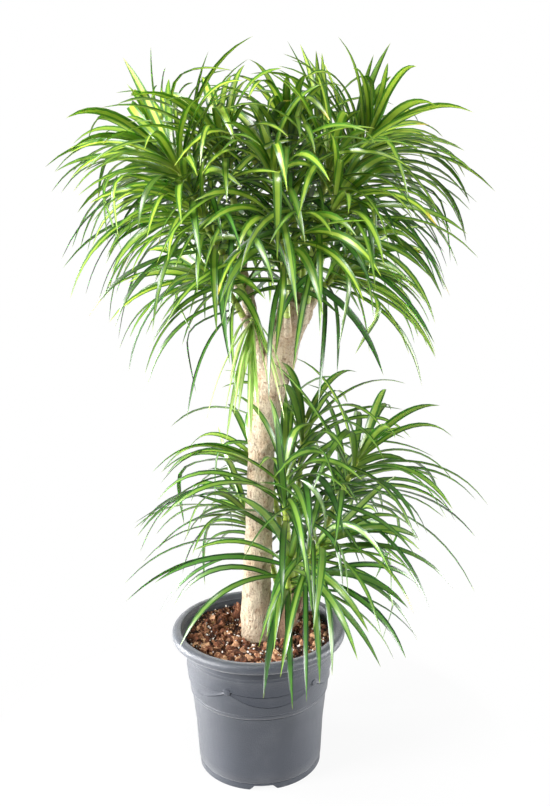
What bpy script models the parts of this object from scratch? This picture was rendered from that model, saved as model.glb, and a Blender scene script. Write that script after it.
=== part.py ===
"""Potted dracaena: a nursery pot, its soil, two woody canes and their leafy heads.

Metres, +Z up. The origin is the centre of the pot's underside, -Y is the front.
"""

import math
import random

import bmesh
import bpy
from mathutils import Matrix, Vector, noise
from mathutils.bvhtree import BVHTree

# Pot
POT_HEIGHT = 0.244
POT_COLUMNS = 30
POT_WALL = 0.003
RIM_OUTER_RADIUS = 0.145
RIM_INNER_RADIUS = 0.1294
RIM_DROP = 0.019
RIM_HOLLOW = 0.010
RIM_ROUND = 0.007
RIM_LIP = 0.004
RIM_FLARE = 0.022
COLLAR_TOP_RADIUS = 0.1253
COLLAR_LOW_RADIUS = 0.1165
COLLAR_LOW = 0.137
BODY_TOP_RADIUS = 0.1130
BODY_TOP = 0.131
BODY_MIDDLE_RADIUS = 0.1083
BODY_MIDDLE = 0.078
BODY_FOOT_RADIUS = 0.1048
FOOT_RADIUS = 0.1018
FOOT_HEIGHT = 0.010
FLOOR_RECESS = 0.009
PAD_RADIUS = 0.020
SWAG_COUNT = 5
SWAG_TURN = math.radians(-24.0)
SWAG_STEP = 0.0010
UPPER_SWAG_TOP = 0.1835
UPPER_SWAG_SAG = 0.0065
LOWER_SWAG_TOP = 0.1815
LOWER_SWAG_SAG = 0.0235
SWAG_EDGE = 0.0010
TIE_WIDTH = 0.015
TIE_HEIGHT = 0.0095
TIE_PROUD = 0.003
NOTCH_COUNT = 4
NOTCH_TURN = math.radians(4.0)
NOTCH_HEIGHT = 0.0075
NOTCH_WIDE = 0.046
NOTCH_NARROW = 0.031
DRAIN_RADIUS = 0.007
DRAIN_RING = 0.066

# Soil
SOIL_LEVEL = 0.2165
SOIL_DISH = 0.0105
SOIL_DISH_START = 0.045
SOIL_LUMP = 0.0035
SOIL_WAVES = (55.0, 120.0)
SOIL_RINGS = 5
SOIL_SHOULDER = 0.006
SEAT_GAP = 0.0003

# Canes: (x, y, z, radius) down the middle of each
CANE_SIDES = 12
BRANCH_SIDES = 8
BARK_RELIEF = 0.0016
BARK_WAVES = (28.0, 75.0)
CANE_FOOT = 0.100
BARK_START = 0.230
MAIN_CANE = (
    (-0.005, 0.012, CANE_FOOT, 0.0250),
    (-0.005, 0.012, 0.226, 0.0250),
    (-0.004, 0.012, 0.256, 0.0258),
    (-0.001, 0.012, 0.324, 0.0236),
    (0.003, 0.012, 0.414, 0.0226),
    (0.006, 0.012, 0.494, 0.0220),
    (0.009, 0.012, 0.551, 0.0218),
    (0.015, 0.011, 0.609, 0.0252),
    (0.024, 0.010, 0.654, 0.0268),
    (0.036, 0.008, 0.689, 0.0262),
    (0.046, 0.006, 0.722, 0.0246),
    (0.055, 0.004, 0.751, 0.0256),
    (0.065, 0.001, 0.780, 0.0282),
    (0.068, 0.000, 0.790, 0.0262),
)
LEFT_BRANCH = (
    (0.020, 0.010, 0.644, 0.0110),
    (0.010, 0.006, 0.694, 0.0108),
    (0.000, 0.002, 0.749, 0.0102),
    (-0.012, 0.000, 0.804, 0.0100),
    (-0.020, 0.000, 0.839, 0.0092),
)
SECOND_CANE = (
    (0.044, 0.012, CANE_FOOT, 0.0138),
    (0.044, 0.012, 0.225, 0.0138),
    (0.049, 0.012, 0.244, 0.0150),
    (0.057, 0.013, 0.269, 0.0155),
    (0.063, 0.014, 0.286, 0.0150),
)

# Leafy heads: (origin in the wood, apex, lean at the apex, blades, blade length)
CROWN_HEADS = (
    ((0.056, -0.010, 0.768), (0.030, -0.090, 1.000), (-0.10, -0.30, 1.00), 15, 0.235),
    ((-0.003, -0.003, 0.768), (-0.082, -0.105, 0.945), (-0.45, -0.40, 1.00), 15, 0.208),
    ((0.052, -0.020, 0.738), (0.044, -0.115, 0.922), (0.00, -0.45, 1.00), 15, 0.212),
    ((0.076, -0.012, 0.758), (0.124, -0.100, 0.955), (0.40, -0.40, 1.00), 15, 0.218),
    ((-0.019, -0.005, 0.800), (-0.112, -0.080, 1.004), (-0.50, -0.25, 1.00), 15, 0.222),
    ((0.080, -0.008, 0.774), (0.118, -0.070, 1.002), (0.32, -0.25, 1.00), 15, 0.236),
    ((0.084, 0.006, 0.774), (0.182, 0.000, 1.038), (0.66, 0.00, 1.00), 17, 0.230),
    ((0.068, 0.000, 0.779), (0.052, 0.000, 1.052), (-0.10, -0.05, 1.00), 16, 0.215),
    ((-0.016, 0.002, 0.814), (-0.142, 0.015, 1.024), (-0.74, 0.05, 1.00), 17, 0.235),
    ((-0.017, 0.000, 0.834), (-0.048, -0.038, 1.034), (-0.30, -0.10, 1.00), 16, 0.230),
    ((0.072, 0.012, 0.776), (0.104, 0.075, 1.010), (0.35, 0.30, 1.00), 15, 0.235),
    ((0.080, 0.018, 0.752), (0.164, 0.095, 1.008), (0.55, 0.40, 0.95), 14, 0.235),
    ((-0.008, 0.004, 0.784), (-0.100, 0.098, 0.980), (-0.60, 0.45, 0.85), 13, 0.240),
    ((-0.018, 0.003, 0.826), (0.004, 0.100, 1.014), (-0.05, 0.45, 0.95), 13, 0.240),
    ((0.004, -0.004, 0.752), (0.000, -0.056, 0.758), (0.10, -0.22, -1.00), 10, 0.200),
    ((0.054, 0.027, 0.730), (0.036, 0.120, 0.900), (-0.10, 0.80, 0.65), 13, 0.230),
    ((-0.004, -0.002, 0.739), (-0.076, -0.044, 0.837), (-0.90, -0.20, 0.45), 13, 0.205),
    ((0.083, -0.004, 0.774), (0.148, -0.035, 0.845), (0.90, -0.10, 0.40), 13, 0.205),
)
LOWER_HEADS = (
    ((0.060, 0.004, 0.278), (0.044, -0.038, 0.530), (0.00, -0.22, 1.00), 15, 0.225),
    ((0.068, 0.014, 0.276), (0.174, 0.012, 0.548), (0.45, -0.05, 1.00), 16, 0.250),
    ((0.062, 0.020, 0.276), (0.080, 0.048, 0.590), (0.12, 0.05, 1.00), 14, 0.240),
    ((0.056, 0.020, 0.270), (-0.014, 0.072, 0.530), (-0.60, 0.05, 0.85), 15, 0.250),
    ((0.066, 0.006, 0.266), (0.120, -0.052, 0.420), (0.70, -0.45, 0.60), 14, 0.240),
    ((0.046, 0.026, 0.252), (-0.030, 0.062, 0.438), (-0.60, -0.02, 0.80), 14, 0.240),
    ((0.068, 0.022, 0.264), (0.128, 0.084, 0.456), (0.60, 0.45, 0.80), 13, 0.240),
    ((0.050, 0.000, 0.252), (0.056, -0.064, 0.395), (0.15, -0.75, 0.65), 12, 0.225),
)
SHOOT_RISE = 0.35
SHOOT_HANDLE = 0.40
STUB_REACH = 0.034
STUB_RADIUS = 0.0062
STEM_RADIUS = 0.0054
BUD_RADIUS = 0.0036
STEM_SIDES = 5
LEAFY_REACH = 0.110
STEM_CLEAR = 0.012

# The main cane's bare front: few blades cross this upright sheet from the cane towards the viewer
CLEARING_X = 0.004
CLEARING_Y = (-0.240, -0.016)
CLEARING_Z = (0.270, 0.680)
CROSSING_STEP = 5

# Blades: each pair of numbers is for the youngest blade of a head and the oldest, or a range
BLADE_WIDTH = 0.0130
BLADE_KEEL = 0.0017
BLADE_ROOT_SHARE = 0.30
BLADE_FULL = 0.32
BLADE_TAPER = 0.38
BLADE_TIP_POWER = 2.1
SINK_ROOT = 0.25
SINK_RISE = 1.5
SPINE_STEPS = 24
BLADE_STATIONS = (0, 5, 12, 19)
YOUNG_STATIONS = (0, 6, 15)
YOUNG_BLADES = 5
BUD_REACH = 0.012
GOLDEN_ANGLE = math.radians(137.508)
SPREAD = (math.radians(18.0), math.radians(72.0))
GROWTH = (0.60, 1.06)
DROOP = (0.95, 1.30)
CURL = (0.52, 0.36)
LENGTH_RANGE = (0.88, 1.10)
WIDTH_RANGE = (0.82, 1.12)
TWIST_MOST = 0.45
FOLD_SHARE = 0.16
FOLD_PLACE = (0.42, 0.68)
FOLD_BEND = (0.7, 1.5)
FOLD_SPAN = 0.14
HANGING_GATHER = 0.30
TURN_STRAY = 0.50
SPREAD_STRAY = math.radians(9.0)
DROOP_STRAY = 0.40
CURL_STRAY = 0.22
CLEAR_WIDTH = 0.0016
CLEAR_DEPTH = 0.0007
PLACING_TRIES = 60
LAYOUT_SEED = 31

DOWN = Vector((0.0, 0.0, -1.0))


def clear_scene():
    """Remove every object that the file starts with."""
    for item in list(bpy.data.objects):
        bpy.data.objects.remove(item, do_unlink=True)


def plain_material(name, colour, roughness):
    """A Principled BSDF with one colour and roughness."""
    material = bpy.data.materials.new(name)
    material.use_nodes = True
    shader = material.node_tree.nodes["Principled BSDF"]
    shader.inputs["Base Color"].default_value = (*colour, 1.0)
    shader.inputs["Roughness"].default_value = roughness
    shader.inputs["Metallic"].default_value = 0.0
    return material


def add_object(name, bm, material, smooth_angle=None):
    """Turn a bmesh into a named object in the scene."""
    mesh = bpy.data.meshes.new(name)
    bm.to_mesh(mesh)
    bm.free()
    mesh.materials.append(material)
    if smooth_angle is not None:
        mesh.shade_smooth()
        mesh.set_sharp_from_angle(angle=smooth_angle)
    item = bpy.data.objects.new(name, mesh)
    bpy.context.scene.collection.objects.link(item)
    return item


def loft(bm, rings, point=None):
    """Join rings of points with faces, cap the first, and cap the last or close it to a point."""
    rows = [[bm.verts.new(place) for place in ring] for ring in rings]
    count = len(rows[0])
    for low, high in zip(rows, rows[1:]):
        for index in range(count):
            after = (index + 1) % count
            bm.faces.new((low[index], low[after], high[after], high[index]))
    bm.faces.new(list(reversed(rows[0])))
    if point is None:
        bm.faces.new(rows[-1])
        return
    end = bm.verts.new(point)
    for index in range(count):
        bm.faces.new((rows[-1][index], rows[-1][(index + 1) % count], end))


def tube(bm, line, radii, sides, relief=None):
    """A round tube along a line of (centre, direction), its sections square to the line."""
    rings = []
    side = Vector((1.0, 0.0, 0.0))
    for (centre, along), radius in zip(line, radii):
        side = (side - along * side.dot(along)).normalized()
        other = along.cross(side)
        ring = []
        for turn in range(sides):
            angle = 2.0 * math.pi * turn / sides
            outward = side * math.cos(angle) + other * math.sin(angle)
            reach = radius + (relief(centre, outward) if relief else 0.0)
            ring.append(centre + outward * reach)
        rings.append(ring)
    loft(bm, rings)


def through(centres):
    """(centre, direction) at each of some centres, the direction from their neighbours."""
    line = []
    for index, centre in enumerate(centres):
        before = centres[max(index - 1, 0)]
        after = centres[min(index + 1, len(centres) - 1)]
        line.append((centre, (after - before).normalized()))
    return line


def is_closed(mesh):
    """Whether every edge of a mesh has two faces."""
    bm = bmesh.new()
    bm.from_mesh(mesh)
    closed = all(edge.is_manifold for edge in bm.edges)
    bm.free()
    return closed


def combine(base, tools, operation):
    """Join or cut an object with a list of others, which are then removed."""
    group = bpy.data.collections.new("tools")
    bpy.context.scene.collection.children.link(group)
    for tool in tools:
        for holder in list(tool.users_collection):
            holder.objects.unlink(tool)
        group.objects.link(tool)
    modifier = base.modifiers.new("combine", "BOOLEAN")
    modifier.operation = operation
    modifier.operand_type = "COLLECTION"
    modifier.collection = group
    for solver in ("EXACT", "MANIFOLD"):
        modifier.solver = solver
        depsgraph = bpy.context.evaluated_depsgraph_get()
        result = bpy.data.meshes.new_from_object(base.evaluated_get(depsgraph))
        if is_closed(result):
            break
    base.modifiers.clear()
    base.data = result
    for tool in tools:
        bpy.data.objects.remove(tool, do_unlink=True)
    bpy.data.collections.remove(group)


def swag_drop(angle, sag):
    """How far a drape hangs below its ties at an angle round the pot."""
    span = 2.0 * math.pi / SWAG_COUNT
    across = ((angle - SWAG_TURN) / span) % 1.0
    return sag * 4.0 * across * (1.0 - across)


def collar_radius(height):
    """The radius of the pot's upper collar at a height."""
    share = (height - COLLAR_LOW) / (POT_HEIGHT - RIM_DROP - COLLAR_LOW)
    return COLLAR_LOW_RADIUS + (COLLAR_TOP_RADIUS - COLLAR_LOW_RADIUS) * share


def pot_section():
    """(radius, height, sag) up the pot's outside, over the rim, down the inside and underneath."""
    rim_low = POT_HEIGHT - RIM_DROP
    rim_hollow = rim_low + RIM_HOLLOW
    lower, upper = collar_radius(LOWER_SWAG_TOP), collar_radius(UPPER_SWAG_TOP)
    return (
        (FOOT_RADIUS, 0.0, 0.0),
        (FOOT_RADIUS, FOOT_HEIGHT, 0.0),
        (BODY_FOOT_RADIUS, FOOT_HEIGHT + 0.003, 0.0),
        (BODY_MIDDLE_RADIUS, BODY_MIDDLE, 0.0),
        (BODY_TOP_RADIUS, BODY_TOP, 0.0),
        (COLLAR_LOW_RADIUS, COLLAR_LOW, 0.0),
        (lower - SWAG_STEP, LOWER_SWAG_TOP - SWAG_EDGE, LOWER_SWAG_SAG),
        (lower, LOWER_SWAG_TOP, LOWER_SWAG_SAG),
        (upper - 0.5 * SWAG_STEP, UPPER_SWAG_TOP - SWAG_EDGE, UPPER_SWAG_SAG),
        (upper + 0.5 * SWAG_STEP, UPPER_SWAG_TOP, UPPER_SWAG_SAG),
        (COLLAR_TOP_RADIUS, rim_low + 0.001, 0.0),
        (RIM_INNER_RADIUS + RIM_LIP, rim_hollow, 0.0),
        (RIM_OUTER_RADIUS - POT_WALL, rim_hollow, 0.0),
        (RIM_OUTER_RADIUS - 0.001, rim_low, 0.0),
        (RIM_OUTER_RADIUS, POT_HEIGHT - 1.4 * RIM_ROUND, 0.0),
        (RIM_OUTER_RADIUS - RIM_ROUND, POT_HEIGHT, 0.0),
        (RIM_INNER_RADIUS + RIM_LIP, POT_HEIGHT - 0.1 * RIM_ROUND, 0.0),
        (RIM_INNER_RADIUS, POT_HEIGHT - RIM_LIP, 0.0),
        (COLLAR_TOP_RADIUS - POT_WALL, POT_HEIGHT - RIM_FLARE, 0.0),
        (BODY_TOP_RADIUS - POT_WALL, BODY_TOP, 0.0),
        (BODY_FOOT_RADIUS - 2.0 * POT_WALL, FLOOR_RECESS + POT_WALL, 0.0),
        (0.0, FLOOR_RECESS + POT_WALL, 0.0),
    )


def underside_section():
    """(radius, height) from the foot's inner edge to the pad in the middle."""
    return (
        (FOOT_RADIUS - POT_WALL, 0.0),
        (FOOT_RADIUS - POT_WALL - 0.001, FLOOR_RECESS),
        (PAD_RADIUS + 0.003, FLOOR_RECESS),
        (PAD_RADIUS, 0.0),
        (0.0, 0.0),
    )


def ring_points(radius, height, columns, sag=0.0):
    """A level ring of points, or one that follows the drapes."""
    points = []
    for column in range(columns):
        angle = 2.0 * math.pi * column / columns
        drop = swag_drop(angle, sag) if sag else 0.0
        points.append(Vector((radius * math.sin(angle), -radius * math.cos(angle), height - drop)))
    return points


def build_pot(material):
    """The moulded shell, its ties, foot notches and drain holes."""
    bm = bmesh.new()
    outside = pot_section()
    inside_centre = outside[-1]
    underside = underside_section()
    rings = [ring_points(radius, height, POT_COLUMNS) for radius, height in reversed(underside[:-1])]
    rings += [ring_points(radius, height, POT_COLUMNS, sag) for radius, height, sag in outside[:-1]]
    loft(bm, rings, point=(0.0, 0.0, inside_centre[1]))
    pot = add_object("pot", bm, material, math.radians(35.0))
    combine(pot, [swag_tie(index, material) for index in range(SWAG_COUNT)], "UNION")
    cutters = [foot_notch(index, material) for index in range(NOTCH_COUNT)]
    cutters += [drain_hole(index, material) for index in range(NOTCH_COUNT)]
    combine(pot, cutters, "DIFFERENCE")
    return pot


def facing(angle, reach, height):
    """The place and turn of something that faces outwards on the pot."""
    place = Vector((reach * math.sin(angle), -reach * math.cos(angle), height))
    return Matrix.Translation(place) @ Matrix.Rotation(angle, 4, "Z")


def wedge(name, wide, narrow, depth, height, material):
    """A block that is wide at its low end and narrow at its top, centred on its foot."""
    bm = bmesh.new()
    rings = []
    for width, level in ((wide, 0.0), (narrow, height)):
        half = 0.5 * width
        corners = ((-half, -0.5 * depth), (half, -0.5 * depth), (half, 0.5 * depth), (-half, 0.5 * depth))
        rings.append([Vector((x, y, level)) for x, y in corners])
    loft(bm, rings)
    return add_object(name, bm, material)


def swag_tie(index, material):
    """The gathered tie where two drapes meet."""
    angle = SWAG_TURN + 2.0 * math.pi * index / SWAG_COUNT
    tie = wedge("tie", 0.6 * TIE_WIDTH, TIE_WIDTH, 2.0 * TIE_PROUD, TIE_HEIGHT, material)
    low = 0.5 * (LOWER_SWAG_TOP + UPPER_SWAG_TOP - TIE_HEIGHT)
    tie.data.transform(facing(angle, collar_radius(UPPER_SWAG_TOP), low))
    return tie


def foot_notch(index, material):
    """A cutter for one drain notch through the foot ring."""
    angle = NOTCH_TURN + 2.0 * math.pi * index / NOTCH_COUNT
    slope = (NOTCH_WIDE - NOTCH_NARROW) / NOTCH_HEIGHT
    below = 0.002
    cutter = wedge("notch", NOTCH_WIDE + slope * below, NOTCH_NARROW, 0.030, NOTCH_HEIGHT + below, material)
    cutter.data.transform(facing(angle, FOOT_RADIUS, -below))
    return cutter


def drain_hole(index, material):
    """A cutter for one drain hole through the floor."""
    angle = NOTCH_TURN + 2.0 * math.pi * (index + 0.5) / NOTCH_COUNT
    bm = bmesh.new()
    bmesh.ops.create_cone(
        bm,
        cap_ends=True,
        segments=12,
        radius1=DRAIN_RADIUS,
        radius2=DRAIN_RADIUS,
        depth=4.0 * POT_WALL,
        matrix=facing(angle, DRAIN_RING, FLOOR_RECESS + 0.5 * POT_WALL),
    )
    return add_object("drain", bm, material)


def soil_height(x, y):
    """The lumpy top of the soil, a shallow dish that is lowest at the canes."""
    broad, fine = SOIL_WAVES
    lumps = noise.noise(Vector((x, y, 0.0)) * broad) + 0.5 * noise.noise(Vector((x, y, 1.0)) * fine)
    edge = inner_wall_radius(SOIL_LEVEL)
    share = min(max((math.hypot(x, y) - SOIL_DISH_START) / (edge - SOIL_DISH_START), 0.0), 1.0)
    return SOIL_LEVEL + SOIL_DISH * share * share * (3.0 - 2.0 * share) + SOIL_LUMP * lumps


def inner_wall_radius(height):
    """The radius of the pot's inside at a height, to the middle of a facet."""
    low_radius = BODY_FOOT_RADIUS - 2.0 * POT_WALL
    stops = (
        (FLOOR_RECESS + POT_WALL, low_radius),
        (BODY_TOP, BODY_TOP_RADIUS - POT_WALL),
        (POT_HEIGHT - RIM_FLARE, COLLAR_TOP_RADIUS - POT_WALL),
    )
    radius = low_radius
    for (z0, r0), (z1, r1) in zip(stops, stops[1:]):
        if height >= z0:
            radius = r0 + (r1 - r0) * min((height - z0) / (z1 - z0), 1.0)
    return radius * math.cos(math.pi / POT_COLUMNS)


def build_soil(material):
    """The soil, with a plain hole for each cane."""
    bm = bmesh.new()
    floor = FLOOR_RECESS + POT_WALL + SEAT_GAP
    side_heights = (floor, BODY_TOP, SOIL_LEVEL + SOIL_DISH - SOIL_SHOULDER)
    rings = [ring_points(inner_wall_radius(z) - SEAT_GAP, z, POT_COLUMNS) for z in side_heights]
    edge = inner_wall_radius(SOIL_LEVEL + SOIL_DISH) - 4.0 * SEAT_GAP
    for index in range(SOIL_RINGS):
        radius = edge * (1.0 - index / SOIL_RINGS)
        ring = ring_points(radius, 0.0, POT_COLUMNS)
        rings.append([Vector((p.x, p.y, soil_height(p.x, p.y))) for p in ring])
    loft(bm, rings, point=(0.0, 0.0, soil_height(0.0, 0.0)))
    soil = add_object("soil", bm, material)
    combine(soil, [cane_hole(points, material) for points in (MAIN_CANE, SECOND_CANE)], "DIFFERENCE")
    return soil


def cane_hole(points, material):
    """A cutter for the hole that a cane stands in."""
    x, y, low, radius = points[0]
    bm = bmesh.new()
    line = through([Vector((x, y, low - SEAT_GAP)), Vector((x, y, POT_HEIGHT))])
    tube(bm, line, [radius + SEAT_GAP / math.cos(math.pi / CANE_SIDES)] * 2, CANE_SIDES)
    return add_object("hole", bm, material)


def bark(centre, outward):
    """Uneven bark above the soil, nothing where the cane stands in its hole."""
    if centre.z < BARK_START:
        return 0.0
    broad, fine = BARK_WAVES
    place = centre + outward * MAIN_CANE[0][3]
    return BARK_RELIEF * (noise.noise(place * broad) + 0.6 * noise.noise(place * fine))


def wood(name, points, sides, material):
    """A woody stem through (x, y, z, radius) points."""
    bm = bmesh.new()
    tube(bm, through([Vector(p[:3]) for p in points]), [p[3] for p in points], sides, bark)
    return add_object(name, bm, material, math.radians(50.0))


def between(pair, share):
    """A value from the first of a pair to the second."""
    return pair[0] + (pair[1] - pair[0]) * share


class Shoot:
    """The curved line of a leafy head, from inside the wood to the bud at its apex.

    A head that hangs holds its blades closer together.
    """

    STEPS = 40

    def __init__(self, origin, apex, lean):
        origin, apex = Vector(origin), Vector(apex)
        lean = Vector(lean).normalized()
        reach = (apex - origin).length
        start = ((apex - origin).normalized() - DOWN * SHOOT_RISE).normalized()
        handle = SHOOT_HANDLE * reach
        handles = (origin, origin + start * handle, apex - lean * handle, apex)
        self.points = [self.bezier(handles, step / self.STEPS) for step in range(self.STEPS + 1)]
        self.lengths = [0.0]
        for before, after in zip(self.points, self.points[1:]):
            self.lengths.append(self.lengths[-1] + (after - before).length)
        self.length = self.lengths[-1]
        self.leafy = min(LEAFY_REACH, self.length - STUB_REACH - STEM_CLEAR)
        self.gather = HANGING_GATHER if lean.z < 0.0 else 1.0

    @staticmethod
    def bezier(handles, t):
        """A point on a cubic curve."""
        a, b, c, d = handles
        s = 1.0 - t
        return a * s ** 3 + b * (3.0 * s * s * t) + c * (3.0 * s * t * t) + d * t ** 3

    def at(self, distance):
        """The point and direction at a distance along the line."""
        distance = min(max(distance, 0.0), self.length)
        index = 0
        while index < self.STEPS - 1 and self.lengths[index + 1] < distance:
            index += 1
        before, after = self.points[index], self.points[index + 1]
        share = (distance - self.lengths[index]) / (self.lengths[index + 1] - self.lengths[index])
        return before.lerp(after, share), (after - before).normalized()


class Blade:
    """One strap leaf: where it leaves the stem, which way, and how it bends."""

    def __init__(self, root, direction, axis, length, width, droop, curl, fold, twist, stations):
        self.root = root
        self.direction = direction.normalized()
        self.length = length
        self.width = width
        self.droop = droop
        self.curl = curl
        self.fold = fold
        self.twist = twist
        self.stations = stations
        self.face = (axis - self.direction * axis.dot(self.direction)).normalized()

    def spine(self):
        """(point, direction, face) at each step: the blade curls back and sinks under its weight."""
        point, along, face = self.root.copy(), self.direction.copy(), self.face.copy()
        step = self.length / SPINE_STEPS
        rows = [(point.copy(), along.copy(), face.copy())]
        for index in range(SPINE_STEPS):
            t = (index + 0.5) / SPINE_STEPS
            bend = self.curl / SPINE_STEPS
            if self.fold and abs(t - self.fold[0]) < 0.5 * FOLD_SPAN:
                bend += self.fold[1] / (FOLD_SPAN * SPINE_STEPS)
            sink = self.droop * (SINK_ROOT + SINK_RISE * t) / SPINE_STEPS
            along = (along - face * bend + DOWN * sink).normalized()
            side = along.cross(face)
            face = (face + side * (self.twist / SPINE_STEPS)).normalized()
            face = (face - along * face.dot(along)).normalized()
            point = point + along * step
            rows.append((point.copy(), along.copy(), face.copy()))
        return rows

    def width_at(self, t):
        """The blade's width along it: a narrow root, widest before the middle, a long tip."""
        rise = between((BLADE_ROOT_SHARE, 1.0), math.sin(0.5 * math.pi * min(t / BLADE_FULL, 1.0)))
        fall = 1.0 - (max(t - BLADE_TAPER, 0.0) / (1.0 - BLADE_TAPER)) ** BLADE_TIP_POWER
        return self.width * rise * fall

    def rings(self, grow=0.0, sink=0.0):
        """Three-cornered sections with a keel below, and the tip."""
        rows = self.spine()
        rings = []
        for station in self.stations:
            point, along, face = rows[station]
            t = station / SPINE_STEPS
            half = 0.5 * (self.width_at(t) + grow)
            keel = BLADE_KEEL * (0.75 + 0.25 * self.width_at(t) / self.width) + sink
            side = along.cross(face)
            top = point + face * sink
            rings.append([top - side * half, top + side * half, point - face * keel])
        return rings, rows[-1][0]

    def tree(self, grow=0.0, sink=0.0, first=0):
        """A search tree of the blade's surface from a station on."""
        rings, tip = self.rings(grow, sink)
        places, faces = [], []
        for ring in rings[first:]:
            places.extend(ring)
        for base in range(0, len(places) - 3, 3):
            for k in range(3):
                low, low_after = base + k, base + (k + 1) % 3
                faces.append((low, low_after, low_after + 3))
                faces.append((low, low_after + 3, low + 3))
        last = len(places) - 3
        places.append(tip)
        for k in range(3):
            faces.append((last + k, last + (k + 1) % 3, last + 3))
        return BVHTree.FromPolygons(places, faces), places

    def build(self, material):
        """The blade as a closed solid."""
        bm = bmesh.new()
        rings, tip = self.rings()
        loft(bm, rings, point=tip)
        bmesh.ops.triangulate(bm, faces=bm.faces, quad_method="FIXED")
        return add_object("blade", bm, material)


def box_of(places):
    """The lowest and highest corners of some points."""
    low = Vector([min(p[k] for p in places) for k in range(3)])
    high = Vector([max(p[k] for p in places) for k in range(3)])
    return low, high


def boxes_meet(first, second):
    """Whether two boxes share any space."""
    return all(first[0][k] <= second[1][k] and second[0][k] <= first[1][k] for k in range(3))


class Thicket:
    """What new blades must stay clear of: wood, stems, pot, soil and the blades laid so far."""

    def __init__(self):
        self.things = []

    def add(self, owner, tree, places):
        """Keep one thing, with the head it belongs to."""
        self.things.append((owner, tree, box_of(places)))

    def is_free(self, owner, blade, may_cross):
        """Whether a blade clears everything; near its own stem only its outer part counts."""
        whole, places = blade.tree(CLEAR_WIDTH, CLEAR_DEPTH)
        outer, _ = blade.tree(CLEAR_WIDTH, CLEAR_DEPTH, first=1)
        reach = box_of(places)
        for other, tree, box in self.things:
            if not boxes_meet(reach, box) or (may_cross and other == "clearing"):
                continue
            if (outer if other == owner else whole).overlap(tree):
                return False
        return True


def draw_blade(draw, shoot, rank, count, length, attempt):
    """One blade of a head; rank 0 is the youngest, at the bud. Later attempts stray further."""
    age = rank / (count - 1)
    stray = 0.85 + 0.05 * attempt
    root, axis = shoot.at(shoot.length - BUD_REACH - (shoot.leafy - BUD_REACH) * age ** 1.1)
    turn = GOLDEN_ANGLE * rank + draw.uniform(-TURN_STRAY, TURN_STRAY) * (stray - 0.3)
    side = Matrix.Rotation(turn, 3, axis) @ axis.orthogonal().normalized()
    spread = between(SPREAD, age ** 0.75) + draw.uniform(-SPREAD_STRAY, SPREAD_STRAY) * stray
    spread *= shoot.gather
    direction = axis * math.cos(spread) + side * math.sin(spread)
    grown = between(GROWTH, math.sin(0.5 * math.pi * min(0.1 + 1.5 * age, 1.0)))
    size = length * grown * draw.uniform(*LENGTH_RANGE)
    droop = between(DROOP, age) + draw.uniform(-DROOP_STRAY, DROOP_STRAY) * stray
    curl = (between(CURL, age) + draw.uniform(-CURL_STRAY, CURL_STRAY) * stray) * shoot.gather
    fold = (draw.uniform(*FOLD_PLACE), draw.uniform(*FOLD_BEND)) if draw.random() < FOLD_SHARE else None
    twist = draw.uniform(-TWIST_MOST, TWIST_MOST)
    width = BLADE_WIDTH * draw.uniform(*WIDTH_RANGE)
    stations = YOUNG_STATIONS if rank < YOUNG_BLADES else BLADE_STATIONS
    return Blade(root, direction, axis, size, width, droop, curl, fold, twist, stations)


def lay_blades(heads, thicket):
    """Lay every head's blades in turn, youngest last, each clear of what is there."""
    laid = {name: [] for name in heads}
    longest = max(count for _, count, _ in heads.values())
    for rank in reversed(range(longest)):
        for number, (name, (shoot, count, length)) in enumerate(heads.items()):
            if rank >= count:
                continue
            draw = random.Random(LAYOUT_SEED + 1000 * number + rank)
            for attempt in range(PLACING_TRIES):
                blade = draw_blade(draw, shoot, rank, count, length, attempt)
                if thicket.is_free(name, blade, rank % CROSSING_STEP == 0):
                    tree, places = blade.tree()
                    thicket.add(name, tree, places)
                    laid[name].append(blade)
                    break
    return laid


def stem_outline(shoot):
    """Stations and radii of a green stem, from the end of its woody stub to the bud."""
    start = STUB_REACH + SEAT_GAP
    leafy = shoot.length - shoot.leafy
    stations = [start, 0.5 * (start + leafy), leafy, shoot.length - 0.45 * shoot.leafy, shoot.length]
    radii = [STEM_RADIUS] * 4 + [BUD_RADIUS]
    return stations, radii


def build_head(name, shoot, blades, leaf):
    """A green stem with its blades, grown as one piece."""
    bm = bmesh.new()
    stations, radii = stem_outline(shoot)
    tube(bm, [shoot.at(place) for place in stations], radii, STEM_SIDES)
    head = add_object(name, bm, leaf)
    combine(head, [blade.build(leaf) for blade in blades], "UNION")
    return head


def build_stub(shoot, material):
    """The woody stub that a leafy head grows from."""
    bm = bmesh.new()
    line = [shoot.at(place) for place in (0.0, STUB_REACH)]
    tube(bm, line, (STUB_RADIUS, STEM_RADIUS), STEM_SIDES)
    return add_object("stub", bm, material)


def tree_of(item):
    """A search tree of an object's mesh, and its points."""
    places = [vertex.co.copy() for vertex in item.data.vertices]
    faces = [tuple(polygon.vertices) for polygon in item.data.polygons]
    return BVHTree.FromPolygons(places, faces), places


def stem_tree(shoot):
    """A search tree of a green stem, a little fuller than it is."""
    bm = bmesh.new()
    stations, radii = stem_outline(shoot)
    line = [shoot.at(place) for place in stations]
    tube(bm, line, [radius + CLEAR_DEPTH for radius in radii], STEM_SIDES)
    places = [vertex.co.copy() for vertex in bm.verts]
    tree = BVHTree.FromBMesh(bm)
    bm.free()
    return tree, places


def clearing():
    """A search tree of the upright sheet before the main cane, and its corners."""
    places = [Vector((CLEARING_X, y, z)) for z in CLEARING_Z for y in CLEARING_Y]
    return BVHTree.FromPolygons(places, [(0, 1, 3, 2)]), places


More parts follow.
